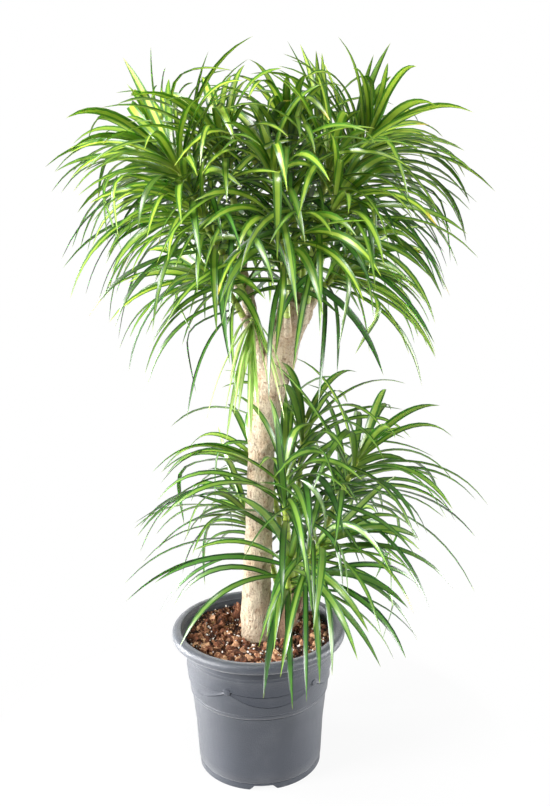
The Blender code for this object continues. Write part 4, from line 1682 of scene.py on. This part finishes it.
@dataclass
class Foliage:
    """All the leafy heads: each solid head's own blades, finely made, with more grown between them."""

    seed: int = 31
    crown_between: tuple[float, ...] = (0.5, 0.25, 0.75)
    sparse_from: float = 0.45
    lower_between: tuple[float, ...] = (0.5,)
    solid_tries: int = 60
    more_tries: int = 30
    match: float = 0.00006
    clearing_x: float = 0.004
    clearing_y: Pair = (-0.240, -0.016)
    clearing_z: Pair = (0.270, 0.680)
    spread: Pair = (math.radians(18.0), math.radians(72.0))
    growth: Pair = (0.60, 1.06)
    droop: Pair = (0.95, 1.30)
    curl: Pair = (0.52, 0.36)
    length_range: Pair = (0.88, 1.10)
    width: float = 0.0130
    width_range: Pair = (0.82, 1.12)
    crown_width: Pair = (1.10, 0.72)
    lower_width: Pair = (1.02, 0.84)
    hanging_width: float = 0.62
    hanging_close: float = 0.75
    roll_most: float = 0.65
    twist_most: float = 0.45
    fold_share: float = 0.16
    fold_place: Pair = (0.42, 0.68)
    fold_bend: Pair = (0.7, 1.5)
    turn_stray: float = 0.50
    spread_stray: float = math.radians(9.0)
    droop_stray: float = 0.40
    curl_stray: float = 0.22
    bud_reach: float = 0.012
    golden_angle: float = math.radians(137.508)
    straying: Pair = (0.85, 0.05)
    turn_steady: float = 0.3
    rank_power: float = 1.1
    spread_power: float = 0.75
    grown_by: Pair = (0.1, 1.5)
    width_power: float = 0.8
    roll_power: float = 0.5
    head_seed: int = 1000
    fine_seed: int = 55
    luck_seed: int = 77
    gap_seed: int = 400
    wilt_share: float = 0.05
    lower_wilt_share: float = 0.012
    young_wilt: float = 0.4
    wilt_range: Pair = (0.2, 0.9)
    hanging_age: float = 0.10
    margin: float = 0.006
    stem_radius: float = 0.0054
    bud_radius: float = 0.0036
    stem_sides: int = 12
    scar_step: float = 0.0045
    scar_depth: float = 0.00045
    scar_steps: tuple[float, float, float] = (0.0, 0.35, 1.0)
    stub_cover: float = 0.8
    bud_from: float = 0.6
    stem_map: Pair = (1.05, 0.5)
    stem_age: Pair = (0.5, 0.45)

    def draw(self, draws: random.Random, head: Head, rank: float, attempt: int) -> Blade:
        """Draw one blade of a head; rank 0 is the youngest, at the bud. Later attempts stray further.

        Args:
            draws: The source of random numbers.
            head: The head.
            rank: The blade's place in the head.
            attempt: How often this blade has been drawn before.

        Returns:
            The blade.
        """
        shoot = head.shoot
        age = rank / (head.count - 1)
        stray = self.straying[0] + self.straying[1] * attempt
        below_bud = (shoot.leafy - self.bud_reach) * age ** self.rank_power
        root, axis = shoot.at(shoot.length - self.bud_reach - below_bud)
        turn = draws.uniform(-self.turn_stray, self.turn_stray) * (stray - self.turn_steady)
        turn = self.golden_angle * rank + turn
        side = Matrix.Rotation(turn, 3, axis) @ axis.orthogonal().normalized()
        spread = draws.uniform(-self.spread_stray, self.spread_stray) * stray
        spread = (between(self.spread, age ** self.spread_power) + spread) * shoot.gather
        direction = axis * math.cos(spread) + side * math.sin(spread)
        grown = min(self.grown_by[0] + self.grown_by[1] * age, 1.0)
        grown = between(self.growth, math.sin(0.5 * math.pi * grown))
        size = head.length * grown * draws.uniform(*self.length_range)
        droop = between(self.droop, age) + draws.uniform(-self.droop_stray, self.droop_stray) * stray
        curl = between(self.curl, age) + draws.uniform(-self.curl_stray, self.curl_stray) * stray
        curl *= shoot.gather
        fold = None
        if draws.random() < self.fold_share:
            fold = (draws.uniform(*self.fold_place), draws.uniform(*self.fold_bend))
        twist = draws.uniform(-self.twist_most, self.twist_most)
        width = self.width * draws.uniform(*self.width_range)
        return Blade(root, direction, axis, size, width, droop, curl, fold, twist, age)

    def solid_blades(self, head: Head) -> dict[float, Blade]:
        """Find again the blades that a head's solid has: those whose tips are points of its mesh.

        Args:
            head: The head.

        Returns:
            The blades by rank.
        """
        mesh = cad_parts[head.name].data
        points = KDTree(len(mesh.vertices))
        for vertex in mesh.vertices:
            points.insert(vertex.co, vertex.index)
        points.balance()
        found = {}
        for rank in range(head.count):
            draws = random.Random(self.seed + self.head_seed * head.number + rank)
            for attempt in range(self.solid_tries):
                blade = self.draw(draws, head, rank, attempt)
                if points.find(blade.spine()[-1][0])[2] < self.match:
                    found[rank] = blade
                    break
        return found

    def refined(self, blade: Blade, head: Head, draws: random.Random) -> Blade:
        """Give a blade its fine form: broad near the bud, slender where it is old, and rolled a little.

        Args:
            blade: The blade, whose width and roll are changed.
            head: The head that it belongs to; one that hangs has narrow blades.
            draws: The source of random numbers.

        Returns:
            The same blade.
        """
        widths = self.crown_width if head.tier is Tier.CROWN else self.lower_width
        blade.width *= between(widths, blade.age ** self.width_power)
        if head.hangs:
            blade.width *= self.hanging_width
        blade.roll = draws.uniform(-self.roll_most, self.roll_most) * blade.age ** self.roll_power
        return blade

    def surroundings(self) -> Thicket:
        """Gather what the blades keep off.

        Returns:
            A thicket of the pot, the soil, the canes and the clear space in front of the bare cane.
        """
        proud = Vector((self.margin, self.margin, self.margin))
        thicket = Thicket(Vector(CAD_BOX[0]) - proud, Vector(CAD_BOX[1]) + proud)
        for name in ("pot", "soil", "main_cane", "second_cane"):
            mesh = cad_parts[name].data
            places = [vertex.co.copy() for vertex in mesh.vertices]
            thicket.add_faces(name, places, [tuple(face.vertices) for face in mesh.polygons])
        places = [Vector((self.clearing_x, y, z)) for z in self.clearing_z for y in self.clearing_y]
        thicket.add_faces(Thicket.CLEARING, places, [(0, 1, 3, 2)])
        return thicket

    def gaps(self, head: Head, share: float) -> int:
        """Count the gaps of a head that get one more blade.

        Args:
            head: The head.
            share: Where in a gap the blade stands, 0 to 1.

        Returns:
            How many, from the bud down; a hanging or lower head gets fewer.
        """
        whole = head.count - 1
        if share not in self.lower_between and (head.hangs or head.tier is Tier.LOWER):
            return 0
        if head.tier is Tier.CROWN and share != self.crown_between[0]:
            return round(self.sparse_from * whole)
        return whole

    def fill(self, head: Head, share: float, blades: dict[float, Blade], thicket: Thicket) -> None:
        """Grow more blades in a head's gaps.

        Args:
            head: The head.
            share: Where in each gap the blade stands, 0 to 1.
            blades: The head's blades by rank, which gains the new ones.
            thicket: What they keep off, which gains them too.
        """
        for rank in range(self.gaps(head, share)):
            seed = self.seed + self.head_seed * head.number + rank + round(share * self.gap_seed)
            draws = random.Random(seed)
            for attempt in range(self.more_tries):
                blade = self.refined(self.draw(draws, head, rank + share, attempt), head, draws)
                if head.hangs:
                    blade.direction = blade.direction.lerp(blade.axis, self.hanging_close)
                if thicket.is_free(head.name, blade, head.tier is Tier.LOWER):
                    thicket.add(head.name, *blade.coarse(0))
                    blades[rank + share] = blade
                    break

    def grow(self, heads: list[Head]) -> dict[str, list[Blade]]:
        """Lay out every head's blades: the solid's own, then more in the gaps between them.

        Args:
            heads: The heads.

        Returns:
            The blades by head.
        """
        thicket = self.surroundings()
        laid = {}
        for head in heads:
            laid[head.name] = self.solid_blades(head)
            draws = random.Random(self.seed + self.fine_seed * head.number)
            for blade in laid[head.name].values():
                thicket.add(head.name, *self.refined(blade, head, draws).coarse(0))
        solid = sum(len(blades) for blades in laid.values())
        for share in self.crown_between:
            for head in heads:
                self.fill(head, share, laid[head.name], thicket)
        LOG.info("blades: %d of the solids, %d in all", solid, sum(len(blades) for blades in laid.values()))
        return {name: list(blades.values()) for name, blades in laid.items()}

    @staticmethod
    def template() -> tuple[Mesh, list[Pair]]:
        """Build the plain blade that every blade is bent from, closed at its foot and pointed.

        Returns:
            The mesh, and each point's place across (0 to 1) and station along.
        """
        bm = bmesh.new()
        tip = Vector((0.0, 0.0, float(Blade.STEPS)))
        line = [(Vector((0.0, 0.0, float(station))), -DOWN) for station in Blade.STATIONS]
        drawn_tube(bm, line + [(tip, -DOWN)], lambda number, centre, outward: 1.0, 4)
        top = [vert for vert in bm.verts if vert.co.z > Blade.STATIONS[-1] + 0.5]
        bmesh.ops.pointmerge(bm, verts=top, merge_co=tip)
        bmesh.ops.recalc_face_normals(bm, faces=bm.faces)

        def order(vert: BMVert) -> float:
            """Put the points in order station by station, and then round the blade."""
            return 10.0 * vert.co.z + round(math.atan2(vert.co.y, vert.co.x) % FULL_TURN, 3)

        bm.verts.sort(key=order)
        marks = [(0.5 - 0.5 * vert.co.x, vert.co.z / Blade.STEPS) for vert in bm.verts]
        return plain_mesh("blade_template", bm), marks

    def stem(self, bm: BMesh, head: Head) -> int:
        """Draw a head's green stem, ringed with old leaf scars, from its woody stub to the bud.

        Args:
            bm: The head's mesh.
            head: The head.

        Returns:
            How many rings it has.
        """
        shoot = head.shoot
        start = self.stub_cover * shoot.STUB_REACH
        rings = 3 * round((shoot.length - start) / self.scar_step)
        line = [shoot.at(between((start, shoot.length), k / (rings - 1))) for k in range(rings)]

        shares = [max(k / (rings - 1) - self.bud_from, 0.0) / (1.0 - self.bud_from) for k in range(rings)]
        radii = [between((self.stem_radius, self.bud_radius), share) for share in shares]
        radii = [plain - self.scar_depth * self.scar_steps[k % 3] for k, plain in enumerate(radii)]
        drawn_tube(bm, line, lambda number, centre, outward: radii[number], self.stem_sides)
        return rings

    def build_head(
        self, head: Head, blades: list[Blade], template: tuple[Mesh, list], material: Material
    ) -> None:
        """Build a head as one piece and let it stand for its solid.

        Args:
            head: The head.
            blades: Its blades.
            template: The plain blade and its points' marks.
            material: The leaf finish.
        """
        plain, marks = template
        bm = bmesh.new()
        rings = self.stem(bm, head)
        count = len(bm.verts)
        (map_low, map_span), (old, age_span) = self.stem_map, self.stem_age
        across_along = [(0.5, map_low + map_span * (k // self.stem_sides) / rings) for k in range(count)]
        tones = [(old - age_span * k / count, 0.5, 0.0, 1.0) for k in range(count)]
        for blade in blades:
            for vert, place in zip(stamped(bm, plain), blade.fine()):
                vert.co = place
            across_along.extend(marks)
            tones.extend([(blade.age, blade.luck, blade.wilt, 1.0)] * len(marks))
        piece = finished(f"{head.name}_foliage", bm, material, 62.0)
        mesh = piece.data
        layer = mesh.uv_layers.new(name="blade")
        corners = [part for loop in mesh.loops for part in across_along[loop.vertex_index]]
        layer.data.foreach_set("uv", corners)
        tone = mesh.color_attributes.new("tone", "FLOAT_COLOR", "POINT")
        tone.data.foreach_set("color", [part for values in tones for part in values])
        ride_root(piece, "crown_leaf" if head.tier is Tier.CROWN else "lower_leaf", head.name)

    def build(self, heads: list[Head], finishes: dict[Tier, Material], pale: Material) -> None:
        """Grow and dress every head.

        Args:
            heads: The heads.
            finishes: The leaf finish of each tier.
            pale: The finish of a head that hangs, a lighter copy of the leaf finish: partly young growth,
                partly painted highlight.
        """
        laid = self.grow(heads)
        template = self.template()
        for head in heads:
            luck = random.Random(self.seed + self.luck_seed * head.number)
            wilts = self.wilt_share if head.tier is Tier.CROWN else self.lower_wilt_share
            for blade in laid[head.name]:
                blade.luck = luck.random()
                if luck.random() < wilts * (self.young_wilt + blade.age):
                    blade.wilt = luck.uniform(*self.wilt_range)
                # a hanging head gets young tones and the lighter pale finish: partly young growth, partly
                # painted highlight
                if head.hangs:
                    blade.age *= self.hanging_age
            material = pale if head.hangs else finishes[head.tier]
            self.build_head(head, laid[head.name], template, material)


@dataclass
class Plant:
    """The two canes, the branch, their knots and the woody stubs; a cane's row is (x, y, z, radius)."""

    main_cane: Table = (
        (-0.005, 0.012, 0.100, 0.0250),
        (-0.005, 0.012, 0.226, 0.0250),
        (-0.004, 0.012, 0.256, 0.0258),
        (-0.001, 0.012, 0.324, 0.0236),
        (0.003, 0.012, 0.414, 0.0226),
        (0.006, 0.012, 0.494, 0.0220),
        (0.009, 0.012, 0.551, 0.0218),
        (0.015, 0.011, 0.609, 0.0252),
        (0.024, 0.010, 0.654, 0.0268),
        (0.036, 0.008, 0.689, 0.0262),
        (0.046, 0.006, 0.722, 0.0246),
        (0.055, 0.004, 0.751, 0.0256),
        (0.065, 0.001, 0.780, 0.0282),
        (0.068, 0.000, 0.790, 0.0262),
    )
    left_branch: Table = (
        (0.020, 0.010, 0.644, 0.0110),
        (0.010, 0.006, 0.694, 0.0108),
        (0.000, 0.002, 0.749, 0.0102),
        (-0.012, 0.000, 0.804, 0.0100),
        (-0.020, 0.000, 0.839, 0.0092),
    )
    second_cane: Table = (
        (0.044, 0.012, 0.100, 0.0138),
        (0.044, 0.012, 0.225, 0.0138),
        (0.049, 0.012, 0.244, 0.0150),
        (0.057, 0.013, 0.269, 0.0155),
        (0.063, 0.014, 0.286, 0.0150),
    )
    knots: tuple[Knot, ...] = (
        Knot(0.752, -0.10, 0.0050, 0.0022, 0.0030),
        Knot(0.716, -0.62, 0.0055, 0.0020, 0.0028),
        Knot(0.746, -0.70, 0.0042, 0.0020, 0.0024),
        Knot(0.708, -0.90, 0.0036, 0.0018, 0.0020),
        Knot(0.772, -1.25, 0.0060, 0.0040, 0.0010),
        Knot(0.640, 0.35, 0.0034, 0.0016, 0.0016),
        Knot(0.560, -0.55, 0.0026, 0.0022, 0.0012),
        Knot(0.505, 0.62, 0.0038, 0.0018, 0.0014),
        Knot(0.430, -0.20, 0.0026, 0.0016, 0.0011),
        Knot(0.352, 0.40, 0.0034, 0.0022, 0.0013),
        Knot(0.300, -0.70, 0.0028, 0.0020, 0.0012),
        Knot(0.640, 2.60, 0.0050, 0.0030, 0.0020),
        Knot(0.480, -2.40, 0.0040, 0.0024, 0.0016),
        Knot(0.380, 2.10, 0.0036, 0.0026, 0.0014),
    )
    stub_radii: Pair = (0.0066, 0.0055)
    stub_sides: int = 20
    stub_rings: int = 12
    stub_relief: float = 0.0005
    stub_scale: float = 240.0
    cane_tones: tuple[Colour, ...] = (
        srgb(238, 224, 196), srgb(224, 194, 158), srgb(146, 104, 76), srgb(134, 100, 70),
    )
    stump_tones: tuple[Colour, ...] = (
        srgb(196, 160, 132), srgb(160, 122, 96), srgb(100, 70, 52), srgb(76, 52, 40),
    )

    def stubs(self, name: str, heads: list[Head], material: Material) -> Object:
        """Build the woody stubs that the heads of one cane grow from.

        Args:
            name: The piece's name.
            heads: The heads.
            material: The bark.

        Returns:
            The stubs as one piece.
        """
        bm = bmesh.new()
        last = self.stub_rings - 1
        for head in heads:
            line = [head.shoot.at(head.shoot.STUB_REACH * k / last) for k in range(self.stub_rings)]

            def reach(number: int, centre: Vector, outward: Vector) -> float:
                """Return the stub's radius at a ring, uneven with old scars."""
                plain = between(self.stub_radii, number / last)
                return plain + self.stub_relief * noise.noise((centre + outward * plain) * self.stub_scale)

            drawn_tube(bm, line, reach, self.stub_sides)
        return finished(name, bm, material, 50.0)

    def build(self, heads: list[Head]) -> None:
        """Build and dress the wood.

        Args:
            heads: The leafy heads, which its stubs carry.
        """
        bark = BarkFinish("cane_bark_finish", *self.cane_tones, 0.65).build()
        stump = BarkFinish("stump_bark_finish", *self.stump_tones, 0.60).build()
        trunk = WoodyStem("main_cane_bark", self.main_cane, self.knots, crown_wear=0.42)
        ride_root(trunk.build(bark), "cane_bark", "main_cane")
        branch = WoodyStem(
            "left_branch_bark", self.left_branch, sides=36, collar_radius=0.010, foot_wear=0.0001
        )
        ride_root(branch.build(bark), "cane_bark", "main_cane")
        second = WoodyStem(
            "second_cane_bark", self.second_cane, sides=44, collar_radius=0.0145, top_wear=0.4
        )
        ride_root(second.build(stump), "stump_bark", "second_cane")
        crown = [head for head in heads if head.tier is Tier.CROWN]
        lower = [head for head in heads if head.tier is Tier.LOWER]
        ride_root(self.stubs("crown_stubs", crown, bark), "cane_bark", "main_cane")
        ride_root(self.stubs("lower_stubs", lower, stump), "stump_bark", "second_cane")


CROWN_HEADS = (
    ((0.056, -0.010, 0.768), (0.030, -0.090, 1.000), (-0.10, -0.30, 1.00), 15, 0.235),
    ((-0.003, -0.003, 0.768), (-0.082, -0.105, 0.945), (-0.45, -0.40, 1.00), 15, 0.208),
    ((0.052, -0.020, 0.738), (0.044, -0.115, 0.922), (0.00, -0.45, 1.00), 15, 0.212),
    ((0.076, -0.012, 0.758), (0.124, -0.100, 0.955), (0.40, -0.40, 1.00), 15, 0.218),
    ((-0.019, -0.005, 0.800), (-0.112, -0.080, 1.004), (-0.50, -0.25, 1.00), 15, 0.222),
    ((0.080, -0.008, 0.774), (0.118, -0.070, 1.002), (0.32, -0.25, 1.00), 15, 0.236),
    ((0.084, 0.006, 0.774), (0.182, 0.000, 1.038), (0.66, 0.00, 1.00), 17, 0.230),
    ((0.068, 0.000, 0.779), (0.052, 0.000, 1.052), (-0.10, -0.05, 1.00), 16, 0.215),
    ((-0.016, 0.002, 0.814), (-0.142, 0.015, 1.024), (-0.74, 0.05, 1.00), 17, 0.235),
    ((-0.017, 0.000, 0.834), (-0.048, -0.038, 1.034), (-0.30, -0.10, 1.00), 16, 0.230),
    ((0.072, 0.012, 0.776), (0.104, 0.075, 1.010), (0.35, 0.30, 1.00), 15, 0.235),
    ((0.080, 0.018, 0.752), (0.164, 0.095, 1.008), (0.55, 0.40, 0.95), 14, 0.235),
    ((-0.008, 0.004, 0.784), (-0.100, 0.098, 0.980), (-0.60, 0.45, 0.85), 13, 0.240),
    ((-0.018, 0.003, 0.826), (0.004, 0.100, 1.014), (-0.05, 0.45, 0.95), 13, 0.240),
    ((0.004, -0.004, 0.752), (0.000, -0.056, 0.758), (0.10, -0.22, -1.00), 10, 0.200),
    ((0.054, 0.027, 0.730), (0.036, 0.120, 0.900), (-0.10, 0.80, 0.65), 13, 0.230),
    ((-0.004, -0.002, 0.739), (-0.076, -0.044, 0.837), (-0.90, -0.20, 0.45), 13, 0.205),
    ((0.083, -0.004, 0.774), (0.148, -0.035, 0.845), (0.90, -0.10, 0.40), 13, 0.205),
)
LOWER_HEADS = (
    ((0.060, 0.004, 0.278), (0.044, -0.038, 0.530), (0.00, -0.22, 1.00), 15, 0.225),
    ((0.068, 0.014, 0.276), (0.174, 0.012, 0.548), (0.45, -0.05, 1.00), 16, 0.250),
    ((0.062, 0.020, 0.276), (0.080, 0.048, 0.590), (0.12, 0.05, 1.00), 14, 0.240),
    ((0.056, 0.020, 0.270), (-0.014, 0.072, 0.530), (-0.60, 0.05, 0.85), 15, 0.250),
    ((0.066, 0.006, 0.266), (0.120, -0.052, 0.420), (0.70, -0.45, 0.60), 14, 0.240),
    ((0.046, 0.026, 0.252), (-0.030, 0.062, 0.438), (-0.60, -0.02, 0.80), 14, 0.240),
    ((0.068, 0.022, 0.264), (0.128, 0.084, 0.456), (0.60, 0.45, 0.80), 13, 0.240),
    ((0.050, 0.000, 0.252), (0.056, -0.064, 0.395), (0.15, -0.75, 0.65), 12, 0.225),
)


def planned_heads() -> list[Head]:
    """Read the tables of heads, whose rows are (origin, apex, lean, count, length).

    Returns:
        Every head, numbered as the solids are.
    """
    heads = []
    for tier, table in ((Tier.CROWN, CROWN_HEADS), (Tier.LOWER, LOWER_HEADS)):
        for index, (origin, apex, lean, count, length) in enumerate(table):
            name = f"{tier.value}_head_{index + 1:02d}"
            heads.append(Head(name, tier, len(heads), Shoot(origin, apex, lean), count, length))
    return heads


@dataclass(frozen=True)
class Lamp:
    """One soft square light: where it hangs, what it points at, its side and its power in watts."""

    name: str
    place: Place
    aim: Place
    size: float
    power: float

    def hang(self) -> None:
        """Hang the light in the scene."""
        light = bpy.data.lights.new(self.name, "AREA")
        light.size = self.size
        light.energy = self.power
        lamp = bpy.data.objects.new(self.name, light)
        lamp.location = self.place
        lamp.rotation_euler = (Vector(self.aim) - Vector(self.place)).to_track_quat("-Z", "Y").to_euler()
        bpy.context.scene.collection.objects.link(lamp)


@dataclass
class Studio:
    """The photograph's viewpoint, a plain pale floor and soft light."""

    eye: tuple[float, float, float] = (0.031, -1.49, 0.979)
    pitch: float = math.radians(90.0 - 13.3)
    roll: float = math.radians(-0.5)
    picture_height: float = 806.0
    focal_pixels: float = 961.0
    film: float = 36.0
    floor_half: float = 30.0
    floor_tone: Colour = (0.46, 0.46, 0.46)
    floor_rough: float = 0.9
    shadow_reach: Pair = (0.16, 0.50)
    shadow_white: float = 0.91
    sky_strength: float = 0.15
    lamps: tuple[Lamp, ...] = (
        Lamp("key_light", (-2.2, -1.1, 1.35), (0.0, 0.0, 0.6), 1.0, 138.0),
        Lamp("fill_light", (2.2, -1.0, 1.25), (0.0, 0.0, 0.6), 1.0, 56.0),
        Lamp("top_light", (-0.3, -0.6, 2.7), (0.0, 0.0, 0.9), 0.7, 36.0),
        Lamp("left_light", (-1.1, 0.20, 0.34), (0.0, 0.0, 0.10), 0.5, 29.0),
        Lamp("right_light", (1.1, 0.20, 0.34), (0.0, 0.0, 0.10), 0.5, 14.0),
    )

    def place_camera(self) -> None:
        """Make the camera and give it to the scene."""
        camera = bpy.data.objects.new("studio_camera", bpy.data.cameras.new("studio_camera"))
        camera.location = self.eye
        turn = Euler((self.pitch, 0.0, 0.0)).to_matrix() @ Matrix.Rotation(self.roll, 3, "Z")
        camera.rotation_euler = turn.to_euler()
        camera.data.sensor_width = self.film
        camera.data.lens = self.focal_pixels / self.picture_height * self.film
        bpy.context.scene.collection.objects.link(camera)
        bpy.context.scene.camera = camera

    def lay_floor(self) -> None:
        """Lay a plain pale floor under the pot."""
        bm = bmesh.new()
        bmesh.ops.create_grid(bm, x_segments=1, y_segments=1, size=self.floor_half)
        sheet = FinishSheet("floor_finish")
        material = sheet.painted({"Base Color": self.floor_tone, "Roughness": self.floor_rough})
        distance = sheet.add("VectorMath", {0: sheet.place()}, operation="LENGTH").outputs["Value"]
        far = sheet.rise(distance, *self.shadow_reach)
        seen = sheet.add("LightPath").outputs["Is Camera Ray"]
        away = sheet.times(seen, sheet.math("MAXIMUM", far, self.shadow_white))
        glow = sheet.add("Emission", {"Color": WHITE, "Strength": 1.0})
        mix = sheet.add("MixShader", {0: away, 1: sheet.shader.outputs[0], 2: glow.outputs[0]})
        sheet.feed(sheet.tree.nodes["Material Output"].inputs["Surface"], mix.outputs[0])
        floor = finished("studio_floor", bm, material)

    def hang_sky(self) -> None:
        """Surround the plant with even light, and show the camera plain white behind it."""
        world = bpy.data.worlds.new("studio")
        world.use_nodes = True
        sheet = NodeSheet(world.node_tree)
        sky = world.node_tree.nodes["Background"]
        sheet.feed(sky.inputs["Color"], WHITE)
        sheet.feed(sky.inputs["Strength"], self.sky_strength)
        seen = sheet.add("LightPath").outputs["Is Camera Ray"]
        backdrop = sheet.add("Background", {"Color": WHITE, "Strength": 1.0})
        mix = sheet.add("MixShader", {0: seen, 1: sky.outputs[0], 2: backdrop.outputs[0]})
        sheet.feed(world.node_tree.nodes["World Output"].inputs["Surface"], mix.outputs[0])
        bpy.context.scene.world = world

    def build(self) -> None:
        """Set up the whole studio."""
        self.place_camera()
        self.lay_floor()
        self.hang_sky()
        bpy.context.scene.view_settings.view_transform = "Standard"
        for lamp in self.lamps:
            lamp.hang()


CROWN_TONES = (
    srgb(62, 112, 22), srgb(190, 214, 74), srgb(14, 40, 18), srgb(72, 124, 38), srgb(196, 212, 104),
)
LOWER_TONES = (
    srgb(50, 98, 28), srgb(176, 206, 84), srgb(14, 42, 20), srgb(82, 134, 50), srgb(150, 176, 76),
)
# lighter leaf tones of the head that hangs: partly young growth, partly painted highlight
PALE_LIT_TONES = (
    srgb(126, 166, 66), srgb(220, 232, 160), srgb(120, 156, 76), srgb(196, 212, 136), srgb(210, 222, 150),
)


def main() -> None:
    """Build the whole picture in order and note the sizes."""
    logging.basicConfig(level=logging.INFO, format="%(message)s")
    heads = planned_heads()
    Studio().build()
    NurseryPot().build()
    PottingSoil().build()
    Plant().build(heads)
    finishes = {
        Tier.CROWN: LeafFinish("crown_leaf_finish", *CROWN_TONES).build(),
        Tier.LOWER: LeafFinish("lower_leaf_finish", *LOWER_TONES).build(),
    }
    Foliage().build(heads, finishes, LeafFinish("pale_leaf_finish", *PALE_LIT_TONES).build())


if __name__ == "__main__":
    main()
